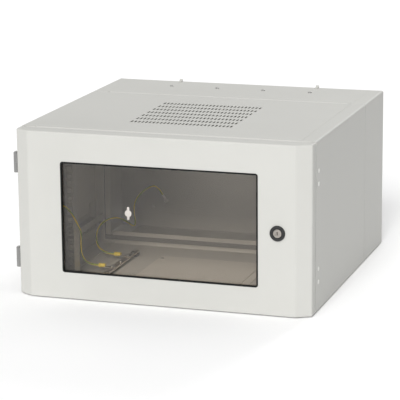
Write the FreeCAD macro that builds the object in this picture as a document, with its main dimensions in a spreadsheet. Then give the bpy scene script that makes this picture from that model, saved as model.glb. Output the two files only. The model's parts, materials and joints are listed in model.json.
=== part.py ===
"""Wall mount network cabinet: two sections that swing apart, and a glazed front door.

The origin is the centre of the rear face, which lies against the wall. X points right as seen
from the front, Y points into the wall and Z points up. Every length is in millimetres.
"""
import FreeCAD, Part

import math
import os
import re

import Sketcher

SIZES = {
    # the cabinet
    "cabinet_width": 600.0,
    "cabinet_height": 336.0,
    "body_depth": 560.0,
    "rear_depth": 165.0,
    "seam_gap": 1.5,
    "sheet": 1.5,
    "bend_radius": 4.0,
    "edge_strip": 30.0,
    "tongue_width": 15.0,
    "panel_fit": 0.2,
    # folded flanges
    "back_flange": 38.0,
    "rear_side_flange": 35.0,
    "rear_floor_flange": 28.0,
    "front_lip": 20.0,
    "seam_side_lip": 21.0,
    "seam_floor_lip": 8.0,
    "gasket_width": 10.0,
    "gasket_clearance": 0.3,
    # wall fixing keyholes
    "keyhole_inset": 15.0,
    "keyhole_rise": 27.0,
    "keyhole_radius": 8.0,
    "keyhole_slot_width": 6.0,
    "keyhole_length": 30.0,
    # back plate and its inner cover
    "back_plate_inset": 30.0,
    "cable_opening_width": 360.0,
    "cable_opening_height": 190.0,
    "cover_half_width": 236.6,
    "cover_inset": 36.0,
    "cover_screw_inset": 12.0,
    # vent in the front top panel
    "slot_width": 4.0,
    "slot_length": 20.0,
    "slot_pitch": 7.63,
    "slot_count": 28,
    "row_pitch": 33.2,
    "row_count": 7,
    "vent_setback": 96.0,
    # rear top panel
    "top_screw_inner": 51.6,
    "top_screw_outer": 155.0,
    "top_screw_setback": 65.0,
    "top_tab_width": 7.0,
    "top_tab_stand": 5.0,
    "top_tab_foot": 14.0,
    "cable_rail_half_length": 175.0,
    "cable_rail_width": 20.0,
    "cable_rail_drop": 12.0,
    # cable-tie slots in the rear floor
    "tie_slot_length": 22.0,
    "tie_slot_width": 4.0,
    "tie_slot_pitch": 65.0,
    "tie_slot_count": 7,
    "tie_slot_setback": 10.0,
    # embossed cover plate on the front floor
    "floor_plate_half_width": 121.0,
    "floor_plate_length": 244.0,
    "floor_plate_setback": 72.0,
    "floor_plate_margin": 16.0,
    "floor_opening_margin": 23.0,
    "floor_screw_inset": 8.0,
    "floor_screw_setback": 20.0,
    # 19-inch rails
    "rail_setback": 80.0,
    "rail_half_opening": 225.0,
    "rail_sheet": 2.0,
    "rail_return": 28.0,
    "rail_seat_return": 40.0,
    "rail_clearance": 8.0,
    "rack_columns": 465.1,
    "rack_unit": 44.45,
    "rack_units": 6,
    "rack_hole": 9.5,
    "rack_hole_step": 15.875,
    "rack_first_hole": 6.35,
    # depth braces
    "brace_stand_off": 15.0,
    "brace_sheet": 2.0,
    "brace_height": 34.0,
    "brace_inset": 33.0,
    "brace_foot": 10.0,
    "brace_end_gap": 0.5,
    "brace_leg_end": 43.0,
    "brace_slot_length": 20.0,
    "brace_slot_width": 7.0,
    "brace_slot_pitch": 25.0,
    "brace_slot_count": 15,
    "brace_first_slot": 21.0,
    # section hinges
    "hinge_inset": 71.75,
    "section_hinge_height": 51.0,
    "section_axis_out": 3.8,
    "section_knuckle_radius": 3.5,
    "section_leaf_sheet": 1.5,
    "section_leaf_length": 36.0,
    "section_pin_radius": 1.75,
    "backing_near": 9.0,
    "backing_length": 30.0,
    # door hinges
    "door_hinge_height": 40.0,
    "door_axis_out": 6.5,
    "door_axis_ahead": 12.0,
    "door_knuckle_radius": 5.5,
    "door_leaf_sheet": 2.0,
    "door_leaf_length": 30.0,
    "door_pin_radius": 2.5,
    "door_leaf_margin": 1.0,
    "pin_head_height": 1.5,
    "pin_head_lap": 1.2,
    "hinge_clearance": 0.3,
    "pin_clearance": 0.15,
    "hinge_screw_setback": 19.0,
    "hinge_screw_pitch": 26.0,
    "hinge_screw_reach": 6.0,
    "plug_radius": 4.5,
    "plug_stand": 1.2,
    "plug_stem": 4.5,
    # door
    "door_depth": 38.5,
    "door_gap": 1.5,
    "door_inset": 1.0,
    "bevel_width": 29.0,
    "bevel_depth": 16.0,
    "door_return": 14.0,
    "window_left": 97.0,
    "window_right": 103.0,
    "window_rise": 55.0,
    "window_drop": 59.0,
    "window_radius": 5.0,
    "seal_lip": 3.0,
    "seal_stand": 0.6,
    "seal_cover": 10.0,
    "seal_thickness": 2.0,
    "glass_thickness": 4.0,
    "glass_cover": 9.0,
    "retainer_sheet": 1.5,
    "retainer_lap": 7.0,
    # lock
    "lock_inset": 64.2,
    "lock_rise": 164.3,
    "lock_ring_radius": 15.0,
    "lock_ring_stand": 4.0,
    "lock_barrel_radius": 11.0,
    "lock_barrel_length": 30.0,
    "lock_cylinder_radius": 8.5,
    "lock_cylinder_sunk": 1.0,
    "lock_clearance": 0.3,
    "lock_nut_radius": 15.5,
    "lock_nut_thickness": 4.0,
    "key_slot_width": 2.0,
    "key_slot_length": 8.0,
    "key_slot_depth": 8.0,
    "cam_reach": 52.0,
    "cam_width": 16.0,
    "cam_thickness": 2.5,
    "cam_gap": 1.0,
    "cam_square": 8.0,
    # turn buttons at the right of the seam
    "button_inset": 31.0,
    "button_rise": 98.0,
    "button_width": 12.0,
    "button_length": 40.0,
    "button_thickness": 3.0,
    "button_gap": 1.5,
    "button_pin_radius": 2.5,
    "button_pin_head": 4.5,
    # screws
    "screw_head_radius": 4.0,
    "screw_head_height": 2.2,
    "screw_shank_radius": 2.0,
    "screw_shank_length": 8.0,
    # earth bar on the front floor
    "bar_offset": 176.0,
    "bar_front": 431.0,
    "bar_back": 247.0,
    "bar_width": 12.0,
    "bar_thickness": 4.0,
    "bar_stand": 6.5,
    "bar_foot_length": 16.0,
    "bar_screw_head": 3.1,
    "door_lead_screw": 392.0,
    "rear_lead_screw": 300.0,
    "middle_screw": 346.0,
    "last_screw": 271.0,
    # cable lugs, leads and earth studs
    "lug_sheet": 1.5,
    "lug_ring_radius": 5.5,
    "lug_barrel_radius": 3.0,
    "lug_barrel_length": 12.0,
    "lug_tongue_length": 18.0,
    "lead_radius": 2.0,
    "stud_radius": 2.5,
    "stud_length": 16.0,
    "nut_radius": 4.5,
    "nut_thickness": 4.0,
    "back_stud_offset": 191.0,
    "back_stud_rise": 63.0,
    "door_stud_inset": 38.0,
    "door_stud_rise": 175.0,
}

# places that many pieces share
LEFT = "(-cabinet_width/2)"
RIGHT = "(cabinet_width/2)"
BOTTOM = "(-cabinet_height/2)"
TOP = "(cabinet_height/2)"
FRONT = "(-body_depth)"
SEAM = "(-rear_depth)"
REAR_FACE = "(-(rear_depth - seam_gap))"
RAIL_FACE = "(-body_depth + rail_setback)"
FLOOR = f"({BOTTOM} + sheet)"
DOOR_BACK = "(-body_depth - door_gap)"
DOOR_FRONT = f"({DOOR_BACK} - door_depth)"
DOOR_INSIDE = f"({DOOR_FRONT} + sheet)"
WINDOW_LEFT = f"({LEFT} + window_left)"
WINDOW_RIGHT = f"({RIGHT} - window_right)"
WINDOW_BOTTOM = f"({BOTTOM} + window_rise)"
WINDOW_TOP = f"({TOP} - window_drop)"
GLASS_FRONT = f"({DOOR_INSIDE} + seal_thickness)"
GLASS_BACK = f"({GLASS_FRONT} + glass_thickness)"
LOCK_X = f"({RIGHT} - lock_inset)"
LOCK_Z = f"({BOTTOM} + lock_rise)"
CAM_FRONT = f"({FRONT} + sheet + cam_gap)"
BACK_COVER_FRONT = "(-3*sheet)"
BAR_TOP = f"({FLOOR} + bar_stand + bar_thickness)"
BRACE_WEB = "(cabinet_width/2 - sheet - brace_stand_off - brace_sheet)"

# how many flats stand for a small round outline
NUT_SIDES = 6
LEAD_SIDES = 6
HEAD_SIDES = 12
SHANK_SIDES = 8
KNUCKLE_SIDES = 16

PLANE_NORMALS = {"XY": 1, "XZ": -1, "YZ": 1}
AXIS_INDEX = {"x": 0, "y": 1, "z": 2}
AXIS_VECTORS = {
    "x": FreeCAD.Vector(1, 0, 0),
    "y": FreeCAD.Vector(0, 1, 0),
    "z": FreeCAD.Vector(0, 0, 1),
}

doc = FreeCAD.newDocument("NetworkCabinet")
sheet = doc.addObject("Spreadsheet::Sheet", "Sizes")
for row, (name, value) in enumerate(SIZES.items(), start=1):
    sheet.set(f"A{row}", name)
    sheet.set(f"B{row}", str(value))
    sheet.setAlias(f"B{row}", name)
doc.recompute()

nodes = []


# ---------------------------------------------------------------- helpers
def bound(text):
    """An expression in which each size's name points at its cell."""

    def cell(found):
        return "Sizes." + found[0] if found[0] in SIZES else found[0]

    return re.sub(r"[a-z][a-z_]*", cell, str(text))


def body(name):
    """An empty body that becomes the node of that name."""
    new = doc.addObject("PartDesign::Body", name)
    new.Label = name
    nodes.append(new)
    return new


def polygon(*points):
    """A closed outline from pairs of expressions."""
    return ("polygon", points)


def rectangle(low_x, high_x, low_y, high_y):
    """A rectangle between two pairs of expressions."""
    return polygon((low_x, low_y), (high_x, low_y), (high_x, high_y), (low_x, high_y))


def circle(centre_x, centre_y, radius):
    """A circle with its centre and radius as expressions."""
    return ("circle", centre_x, centre_y, radius)


def punched_slot(x, y, length, width):
    """A slot along the sketch's first axis; its ends have cut corners."""
    corner = f"({width})*0.3"
    half_length, half_width = f"({length})/2", f"({width})/2"
    corners = []
    for along, across in ((1, 1), (-1, 1), (-1, -1), (1, -1)):
        tip = (
            f"{x} + {along}*({half_length})",
            f"{y} + {across}*({half_width} - {corner})",
        )
        side = (
            f"{x} + {along}*({half_length} - {corner})",
            f"{y} + {across}*({half_width})",
        )
        corners += [tip, side] if along == across else [side, tip]
    return polygon(*corners)


def regular(x, y, radius, sides):
    """A regular polygon with corners at that radius."""
    turns = [360 / sides * n for n in range(sides)]
    return polygon(
        *((f"{x} + ({radius})*cos({turn})", f"{y} + ({radius})*sin({turn})") for turn in turns)
    )


def screw_hole(x, y):
    """The hole that a screw passes through."""
    return regular(x, y, "screw_shank_radius + panel_fit", SHANK_SIDES)


def draw_polygon(sketch, points):
    """Lines through the points, each held by its distances from the origin."""
    first, count = sketch.GeometryCount, len(points)
    ring = [
        FreeCAD.Vector(math.cos(2 * math.pi * n / count), math.sin(2 * math.pi * n / count), 0)
        for n in range(count)
    ]
    for n in range(count):
        sketch.addGeometry(Part.LineSegment(ring[n], ring[(n + 1) % count]), False)
    for n in range(count):
        line, following = first + n, first + (n + 1) % count
        sketch.addConstraint(Sketcher.Constraint("Coincident", line, 2, following, 1))
        for kind, start, text in zip(("DistanceX", "DistanceY"), ring[n], points[n]):
            made = sketch.addConstraint(Sketcher.Constraint(kind, -1, 1, line, 1, start))
            sketch.setExpression(f"Constraints[{made}]", bound(text))


def draw_circle(sketch, centre_x, centre_y, radius):
    """A circle held by its centre's distances from the origin and its radius."""
    new = sketch.addGeometry(
        Part.Circle(FreeCAD.Vector(1, 1, 0), FreeCAD.Vector(0, 0, 1), 1.0), False
    )
    for kind, text in (("DistanceX", centre_x), ("DistanceY", centre_y)):
        made = sketch.addConstraint(Sketcher.Constraint(kind, -1, 1, new, 3, 1.0))
        sketch.setExpression(f"Constraints[{made}]", bound(text))
    made = sketch.addConstraint(Sketcher.Constraint("Radius", new, 1.0))
    sketch.setExpression(f"Constraints[{made}]", bound(radius))


def sketch_on(owner, plane, level, outlines):
    """A sketch of the outlines on one of the body's planes, moved to a level along its normal."""
    sketch = owner.newObject("Sketcher::SketchObject", "Sketch")
    role = plane + "_Plane"
    origin_plane = next(one for one in owner.Origin.OriginFeatures if one.Role == role)
    sketch.AttachmentSupport = [(origin_plane, "")]
    sketch.MapMode = "FlatFace"
    sketch.setExpression("AttachmentOffset.Base.z", bound(level))
    for kind, *values in outlines:
        if kind == "polygon":
            draw_polygon(sketch, values[0])
        else:
            draw_circle(sketch, *values)
    return sketch


def swept(owner, kind, plane, outlines, start, end):
    """A pad or pocket of the outlines between two levels of the plane's own axis."""
    level = start if PLANE_NORMALS[plane] > 0 else f"-({end})"
    sketch = sketch_on(owner, plane, level, outlines)
    feature = owner.newObject(f"PartDesign::{kind}", kind)
    feature.Profile = sketch
    feature.setExpression("Length", bound(f"({end}) - ({start})"))
    if kind == "Pocket":
        feature.Reversed = True
    owner.Tip = feature
    return feature


def pad(owner, plane, outlines, start, end):
    """Material of the outlines between two levels."""
    return swept(owner, "Pad", plane, outlines, start, end)


def pocket(owner, plane, outlines, start, end):
    """A cut of the outlines between two levels, checked for having cut something."""
    doc.recompute()
    before = owner.Tip.Shape.Volume
    feature = swept(owner, "Pocket", plane, outlines, start, end)
    doc.recompute()
    if feature.Shape.Volume > before - 0.01:
        raise ValueError(f"a pocket in {owner.Label} cuts nothing")
    return feature


def repeat(owner, feature, direction, length, count):
    """Copies of a feature along its sketch's horizontal or vertical axis."""
    pattern = owner.newObject("PartDesign::LinearPattern", "Pattern")
    pattern.Originals = [feature]
    pattern.Direction = (feature.Profile[0], [direction])
    pattern.setExpression("Length", bound(length))
    pattern.setExpression("Occurrences", bound(count))
    owner.Tip = pattern
    return pattern


def fillet(owner, radius, axis, keep):
    """Rounds the straight edges along an axis whose middle and bounds keep() accepts."""
    doc.recompute()
    base = owner.Tip
    index = AXIS_INDEX[axis]
    names = []
    for number, edge in enumerate(base.Shape.Edges, start=1):
        if not isinstance(edge.Curve, Part.Line):
            continue
        if abs(abs(edge.tangentAt(edge.FirstParameter)[index]) - 1) > 1e-6:
            continue
        if keep(edge.BoundBox.Center, base.Shape.BoundBox):
            names.append(f"Edge{number}")
    if not names:
        raise ValueError(f"no edge to round in {owner.Label}")
    new = owner.newObject("PartDesign::Fillet", "Fillet")
    new.Base = (base, names)
    new.setExpression("Radius", bound(radius))
    owner.Tip = new
    return new


def near(first, second):
    """Whether two lengths are the same to a micrometre."""
    return abs(first - second) < 1e-3


def screws(name, plane, centres, head_start, head_end, shank_start, shank_end):
    """One node of pan-head screws, all along the plane's axis."""
    group = body(name)
    heads = [regular(x, y, "screw_head_radius", HEAD_SIDES) for x, y in centres]
    shanks = [regular(x, y, "screw_shank_radius", SHANK_SIDES) for x, y in centres]
    pad(group, plane, heads, head_start, head_end)
    pad(group, plane, shanks, shank_start, shank_end)
    return group


# ---------------------------------------------------------------- folded side panels
def side_outline(side, near_edge, step, low=BOTTOM, high=TOP):
    """A flange along a side wall that narrows to the edge strip near the top and bottom."""
    outer = f"{side}*cabinet_width/2"
    strip = f"{side}*(cabinet_width/2 - edge_strip)"
    inner = f"{side}*(cabinet_width/2 - ({near_edge}))"
    return polygon(
        (outer, low),
        (strip, low),
        (strip, f"{low} + ({step})"),
        (inner, f"{low} + ({step})"),
        (inner, f"{high} - ({step})"),
        (strip, f"{high} - ({step})"),
        (strip, high),
        (outer, high),
    )


def side_panel(name, side, start, end, front_flange, front_step, back_flange, back_step):
    """A side wall with folded top and bottom strips, stepped tongues, and end flanges."""
    panel = body(name)
    outer = f"{side}*cabinet_width/2"
    inner = f"{side}*(cabinet_width/2 - sheet)"
    strip = f"{side}*(cabinet_width/2 - edge_strip)"
    tongue_root = f"{side}*(cabinet_width/2 - edge_strip + sheet)"
    tongue_tip = f"{side}*(cabinet_width/2 - edge_strip - tongue_width)"
    channel = polygon(
        (outer, BOTTOM),
        (strip, BOTTOM),
        (strip, f"{BOTTOM} + sheet"),
        (inner, f"{BOTTOM} + sheet"),
        (inner, f"{TOP} - sheet"),
        (strip, f"{TOP} - sheet"),
        (strip, TOP),
        (outer, TOP),
    )
    pad(panel, "XZ", [channel], start, end)
    wall_side = 1 if side > 0 else -1
    fillet(
        panel,
        "bend_radius - sheet",
        "y",
        lambda middle, box: near(middle.x * wall_side, SIZES["cabinet_width"] / 2 - SIZES["sheet"]),
    )
    tongues = [
        rectangle(tongue_root, tongue_tip, f"{BOTTOM} + sheet", f"{BOTTOM} + 2*sheet"),
        rectangle(tongue_root, tongue_tip, f"{TOP} - 2*sheet", f"{TOP} - sheet"),
    ]
    pad(panel, "XZ", tongues, f"{start} + 2*sheet", f"{end} - 2*sheet")
    pad(panel, "XZ", [side_outline(side, front_flange, front_step)], start, f"{start} + sheet")
    pad(panel, "XZ", [side_outline(side, back_flange, back_step)], f"{end} - sheet", end)
    fillet(
        panel,
        "bend_radius",
        "y",
        lambda middle, box: near(middle.x * wall_side, SIZES["cabinet_width"] / 2),
    )
    return panel


def cross_panel(name, at_top, start, end, front_flange, back_flange, notch):
    """A flush top or bottom panel between the edge strips, with both ends folded inward."""
    panel = body(name)
    toward = -1 if at_top else 1
    face = TOP if at_top else BOTTOM
    half = "cabinet_width/2 - edge_strip - panel_fit"
    low, high = (f"{face} - sheet", face) if at_top else (face, f"{face} + sheet")
    flange_half = f"cabinet_width/2 - ({notch}) - panel_fit"
    wide = rectangle(
        f"-({half})", half, f"{start} + sheet + panel_fit", f"{end} - sheet - panel_fit"
    )
    pad(panel, "XY", [wide], low, high)
    pad(panel, "XY", [rectangle(f"-({flange_half})", flange_half, start, end)], low, high)
    for depth, first, last in (
        (front_flange, start, f"{start} + sheet"),
        (back_flange, f"{end} - sheet", end),
    ):
        tip = f"{face} + {toward}*({depth})"
        pad(panel, "XZ", [rectangle(f"-({flange_half})", flange_half, face, tip)], first, last)
    return panel


REAR_NOTCH = "back_flange"
FRONT_NOTCH = "edge_strip"
front_sides = {}

for side, word in ((-1, "left"), (1, "right")):
    rear_side = side_panel(
        f"rear_side_{word}",
        side,
        REAR_FACE,
        "0",
        "rear_side_flange",
        "sheet + panel_fit",
        "back_flange",
        "sheet + panel_fit",
    )
    keyhole_x = f"{side}*(cabinet_width/2 - keyhole_inset)"
    for keyhole_z in (f"{BOTTOM} + keyhole_rise", f"{TOP} - keyhole_rise"):
        pocket(rear_side, "XZ", [circle(keyhole_x, keyhole_z, "keyhole_radius")], "-sheet", "0")
        slot = rectangle(
            f"{keyhole_x} - keyhole_slot_width/2",
            f"{keyhole_x} + keyhole_slot_width/2",
            f"{keyhole_z} - keyhole_length/2",
            f"{keyhole_z} + keyhole_length/2",
        )
        pocket(rear_side, "XZ", [slot], "-sheet", "0")
    front_sides[word] = side_panel(
        f"front_side_{word}",
        side,
        FRONT,
        SEAM,
        "front_lip",
        "front_lip",
        "seam_side_lip",
        "seam_floor_lip",
    )

# ---------------------------------------------------------------- rear section
top_screw_places = [
    (f"{side}*{offset}", "-top_screw_setback")
    for side in (-1, 1)
    for offset in ("top_screw_inner", "top_screw_outer")
]

rear_top = cross_panel(
    "rear_top_panel", True, REAR_FACE, "0", "rear_floor_flange", "back_flange", REAR_NOTCH
)
pocket(
    rear_top,
    "XY",
    [screw_hole(x, y) for x, y in top_screw_places],
    f"{TOP} - sheet",
    TOP,
)

rear_bottom = cross_panel(
    "rear_bottom_panel", False, REAR_FACE, "0", "rear_floor_flange", "back_flange", REAR_NOTCH
)
tie_slot = punched_slot(
    "-tie_slot_pitch*(tie_slot_count - 1)/2",
    "-tie_slot_setback",
    "tie_slot_length",
    "tie_slot_width",
)
tie_cut = pocket(rear_bottom, "XY", [tie_slot], BOTTOM, f"{BOTTOM} + sheet")
repeat(
    rear_bottom, tie_cut, "H_Axis", "tie_slot_pitch*(tie_slot_count - 1)", "tie_slot_count"
)

back_plate = body("rear_back_plate")
back_plate_half = "cabinet_width/2 - back_plate_inset"
cable_opening = rectangle(
    "-cable_opening_width/2",
    "cable_opening_width/2",
    "-cable_opening_height/2",
    "cable_opening_height/2",
)
pad(
    back_plate,
    "XZ",
    [
        rectangle(
            f"-({back_plate_half})",
            back_plate_half,
            f"{BOTTOM} + back_plate_inset",
            f"{TOP} - back_plate_inset",
        ),
        cable_opening,
    ],
    "-2*sheet",
    "-sheet",
)

cover_half_height = "cabinet_height/2 - cover_inset"
cover_screw_places = [
    (
        f"{side}*(cover_half_width - cover_screw_inset)",
        f"{end}*({cover_half_height} - cover_screw_inset)",
    )
    for side in (-1, 1)
    for end in (-1, 1)
]
back_cover = body("back_cover_panel")
pad(
    back_cover,
    "XZ",
    [
        rectangle(
            "-cover_half_width",
            "cover_half_width",
            f"{BOTTOM} + cover_inset",
            f"{TOP} - cover_inset",
        )
    ],
    BACK_COVER_FRONT,
    "-2*sheet",
)
pocket(
    back_cover,
    "XZ",
    [screw_hole(x, z) for x, z in cover_screw_places],
    BACK_COVER_FRONT,
    "-2*sheet",
)
pocket(
    back_plate,
    "XZ",
    [screw_hole(x, z) for x, z in cover_screw_places],
    "-2*sheet",
    "-sheet",
)
screws(
    "back_cover_screws",
    "XZ",
    cover_screw_places,
    f"{BACK_COVER_FRONT} - screw_head_height",
    BACK_COVER_FRONT,
    BACK_COVER_FRONT,
    "-sheet - panel_fit",
)

cable_rail = body("top_cable_rail")
rail_front = "-top_screw_setback - cable_rail_width/2"
rail_back = "-top_screw_setback + cable_rail_width/2"
rail_top = f"{TOP} - sheet"
cable_rail_profile = polygon(
    (rail_front, rail_top),
    (rail_back, rail_top),
    (rail_back, f"{rail_top} - cable_rail_drop"),
    (f"{rail_back} - sheet", f"{rail_top} - cable_rail_drop"),
    (f"{rail_back} - sheet", f"{rail_top} - sheet"),
    (f"{rail_front} + sheet", f"{rail_top} - sheet"),
    (f"{rail_front} + sheet", f"{rail_top} - cable_rail_drop"),
    (rail_front, f"{rail_top} - cable_rail_drop"),
)
pad(
    cable_rail, "YZ", [cable_rail_profile], "-cable_rail_half_length", "cable_rail_half_length"
)
pocket(
    cable_rail,
    "XY",
    [screw_hole(x, y) for x, y in top_screw_places],
    f"{rail_top} - sheet",
    rail_top,
)
screws(
    "top_rail_screws",
    "XY",
    top_screw_places,
    TOP,
    f"{TOP} + screw_head_height",
    f"{TOP} - screw_shank_length",
    TOP,
)

tabs = body("top_fixing_tabs")
tab_feet = [
    rectangle(
        f"{side}*top_screw_outer - top_tab_width/2",
        f"{side}*top_screw_outer + top_tab_width/2",
        "-top_tab_foot",
        "0",
    )
    for side in (-1, 1)
]
tab_stands = [
    rectangle(
        f"{side}*top_screw_outer - top_tab_width/2",
        f"{side}*top_screw_outer + top_tab_width/2",
        "-sheet",
        "0",
    )
    for side in (-1, 1)
]
pad(tabs, "XY", tab_feet, TOP, f"{TOP} + sheet")
pad(tabs, "XY", tab_stands, f"{TOP} + sheet", f"{TOP} + top_tab_stand")

gasket = body("rear_seam_gasket")
gasket_outer = "cabinet_width/2 - (rear_side_flange - gasket_width)/2 - panel_fit"
gasket_top = "cabinet_height/2 - (rear_floor_flange - gasket_width)/2 - panel_fit"
pad(
    gasket,
    "XZ",
    [
        rectangle(f"-({gasket_outer})", gasket_outer, f"-({gasket_top})", gasket_top),
        rectangle(
            f"-({gasket_outer} - gasket_width)",
            f"{gasket_outer} - gasket_width",
            f"-({gasket_top} - gasket_width)",
            f"{gasket_top} - gasket_width",
        ),
    ],
    f"{SEAM} + gasket_clearance",
    REAR_FACE,
)

# ---------------------------------------------------------------- turn buttons on the right of the seam
button_x = f"({RIGHT} - button_inset)"
button_front = f"({SEAM} - sheet - button_gap - button_thickness)"
button_back = f"({SEAM} - sheet - button_gap)"
button_heights = {"upper": f"({TOP} - button_rise)", "lower": f"({BOTTOM} + button_rise)"}
for word, height in button_heights.items():
    button = body(f"turn_button_{word}")
    half_width, half_length = "button_width/2", "button_length/2"
    outline = rectangle(
        f"{button_x} - {half_width}",
        f"{button_x} + {half_width}",
        f"{height} - {half_length}",
        f"{height} + {half_length}",
    )
    pad(button, "XZ", [outline], button_front, button_back)
    fillet(button, "button_width/2 - panel_fit", "y", lambda middle, box: True)
    pocket(
        button,
        "XZ",
        [circle(button_x, height, "button_pin_radius + pin_clearance")],
        button_front,
        button_back,
    )

button_pins = body("turn_button_pins")
pin_places = [(button_x, height) for height in button_heights.values()]
pad(
    button_pins,
    "XZ",
    [regular(x, z, "button_pin_head", HEAD_SIDES) for x, z in pin_places],
    f"{button_front} - hinge_clearance - screw_head_height",
    f"{button_front} - hinge_clearance",
)
pad(
    button_pins,
    "XZ",
    [circle(x, z, "button_pin_radius") for x, z in pin_places],
    f"{button_front} - hinge_clearance",
    REAR_FACE,
)


# ---------------------------------------------------------------- hinges
hinge_heights = {"upper": f"({TOP} - hinge_inset)", "lower": f"({BOTTOM} + hinge_inset)"}


def knuckle(leaf, axis, knuckle_radius, pin_radius, ends):
    """A knuckle of a hinge leaf with its bore for the pin."""
    pad(leaf, "XY", [regular(*axis, knuckle_radius, KNUCKLE_SIDES)], *ends)
    pocket(leaf, "XY", [circle(*axis, f"{pin_radius} + pin_clearance")], *ends)


def hinge_leaf(name, axis, leaf_sheet, reach, height_range, knuckle_range, sizes):
    """One leaf: a plate on the left wall, and its half of the knuckle round the pin."""
    near_y, far_y = reach
    knuckle_radius, pin_radius, lift = sizes
    leaf = body(name)
    pad(leaf, "XY", [rectangle(f"{LEFT} - {leaf_sheet}", LEFT, near_y, far_y)], *height_range)
    arm = rectangle(f"{LEFT} - {leaf_sheet} - {lift}", f"{LEFT} - {lift}", axis[1], near_y)
    pad(leaf, "XY", [arm], *knuckle_range)
    if lift != "0":
        join = rectangle(f"{LEFT} - {leaf_sheet} - {lift}", LEFT, near_y, f"{near_y} + {leaf_sheet}")
        pad(leaf, "XY", [join], *knuckle_range)
    knuckle(leaf, axis, knuckle_radius, pin_radius, knuckle_range)
    return leaf


section_axis = (f"({LEFT} - section_axis_out)", SEAM)
door_axis = (f"({LEFT} - door_axis_out)", f"({FRONT} - door_axis_ahead)")
section_clear = "(section_knuckle_radius + hinge_clearance)"
door_hinge_sizes = ("door_knuckle_radius", "door_pin_radius")
section_sizes = ("section_knuckle_radius", "section_pin_radius", "0")

hinge_screw_places = [
    (f"{FRONT} + hinge_screw_setback", f"{middle} + {end}*hinge_screw_pitch/2")
    for middle in hinge_heights.values()
    for end in (-1, 1)
]

for word, middle in hinge_heights.items():
    low = f"{middle} - section_hinge_height/2"
    high = f"{middle} + section_hinge_height/2"
    hinge_leaf(
        f"section_hinge_fixed_leaf_{word}",
        section_axis,
        "section_leaf_sheet",
        (f"{SEAM} + {section_clear}", f"{SEAM} + section_leaf_length"),
        (low, high),
        (low, f"{middle} - hinge_clearance/2"),
        section_sizes,
    )
    hinge_leaf(
        f"section_hinge_moving_leaf_{word}",
        section_axis,
        "section_leaf_sheet",
        (f"{SEAM} - {section_clear}", f"{SEAM} - section_leaf_length"),
        (low, high),
        (f"{middle} + hinge_clearance/2", high),
        section_sizes,
    )
    low = f"{middle} - door_hinge_height/2"
    high = f"{middle} + door_hinge_height/2"
    body_leaf = hinge_leaf(
        f"door_hinge_body_leaf_{word}",
        door_axis,
        "door_leaf_sheet",
        (FRONT, f"{FRONT} + door_leaf_length"),
        (low, high),
        (low, f"{middle} - hinge_clearance/2"),
        (*door_hinge_sizes, "hinge_clearance"),
    )
    leaf_screws = [(y, z) for y, z in hinge_screw_places if middle in z]
    leaf_holes = [screw_hole(y, z) for y, z in leaf_screws]
    pocket(body_leaf, "YZ", leaf_holes, f"{LEFT} - door_leaf_sheet", LEFT)
    leaf = body(f"door_hinge_door_leaf_{word}")
    plate_low = f"{middle} + hinge_clearance/2"
    pad(
        leaf,
        "XY",
        [
            rectangle(
                f"{LEFT} - door_leaf_sheet",
                LEFT,
                f"{DOOR_FRONT} + bevel_depth + door_leaf_margin",
                f"{DOOR_BACK} - hinge_clearance",
            )
        ],
        plate_low,
        high,
    )
    knuckle(leaf, door_axis, *door_hinge_sizes, (plate_low, high))

for name, axis, radius, height in (
    ("section_hinge_pins", section_axis, "section_pin_radius", "section_hinge_height"),
    ("door_hinge_pins", door_axis, "door_pin_radius", "door_hinge_height"),
):
    pins = body(name)
    for middle in hinge_heights.values():
        top_end = f"{middle} + {height}/2"
        head_start = f"{top_end} + hinge_clearance"
        head = regular(*axis, f"{radius} + pin_head_lap", HEAD_SIDES)
        pad(pins, "XY", [circle(*axis, radius)], f"{middle} - {height}/2", head_start)
        pad(pins, "XY", [head], head_start, f"{head_start} + pin_head_height")

backing = body("section_hinge_backing_plates")
for middle in hinge_heights.values():
    plate = rectangle(
        f"{SEAM} - backing_near - backing_length",
        f"{SEAM} - backing_near",
        f"{middle} - section_hinge_height/2",
        f"{middle} + section_hinge_height/2",
    )
    pad(backing, "YZ", [plate], f"{LEFT} + sheet", f"{LEFT} + 2*sheet")

wall_holes = [screw_hole(y, z) for y, z in hinge_screw_places]
pocket(front_sides["left"], "YZ", wall_holes, LEFT, f"{LEFT} + sheet")
pocket(front_sides["right"], "YZ", wall_holes, f"{RIGHT} - sheet", RIGHT)
screws(
    "door_hinge_screws",
    "YZ",
    hinge_screw_places,
    f"{LEFT} - door_leaf_sheet - screw_head_height",
    f"{LEFT} - door_leaf_sheet",
    f"{LEFT} - door_leaf_sheet",
    f"{LEFT} + hinge_screw_reach",
)
plugs = body("spare_hole_plugs")
pad(
    plugs,
    "YZ",
    [regular(y, z, "plug_radius", HEAD_SIDES) for y, z in hinge_screw_places],
    RIGHT,
    f"{RIGHT} + plug_stand",
)
pad(
    plugs,
    "YZ",
    [regular(y, z, "screw_shank_radius", SHANK_SIDES) for y, z in hinge_screw_places],
    f"{RIGHT} - plug_stem",
    RIGHT,
)

# ---------------------------------------------------------------- front section
front_top = cross_panel(
    "front_top_panel", True, FRONT, SEAM, "front_lip", "seam_floor_lip", FRONT_NOTCH
)
vent_slot = rectangle(
    "-slot_pitch*(slot_count - 1)/2 - slot_width/2",
    "-slot_pitch*(slot_count - 1)/2 + slot_width/2",
    f"{SEAM} - vent_setback - slot_length/2 - row_pitch*(row_count - 1)",
    f"{SEAM} - vent_setback + slot_length/2 - row_pitch*(row_count - 1)",
)
vent_cut = pocket(front_top, "XY", [vent_slot], f"{TOP} - sheet", TOP)
vent = repeat(front_top, vent_cut, "H_Axis", "slot_pitch*(slot_count - 1)", "slot_count")
vent.Direction2 = (vent_cut.Profile[0], ["V_Axis"])
vent.setExpression("Length2", bound("row_pitch*(row_count - 1)"))
vent.setExpression("Occurrences2", bound("row_count"))

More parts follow.
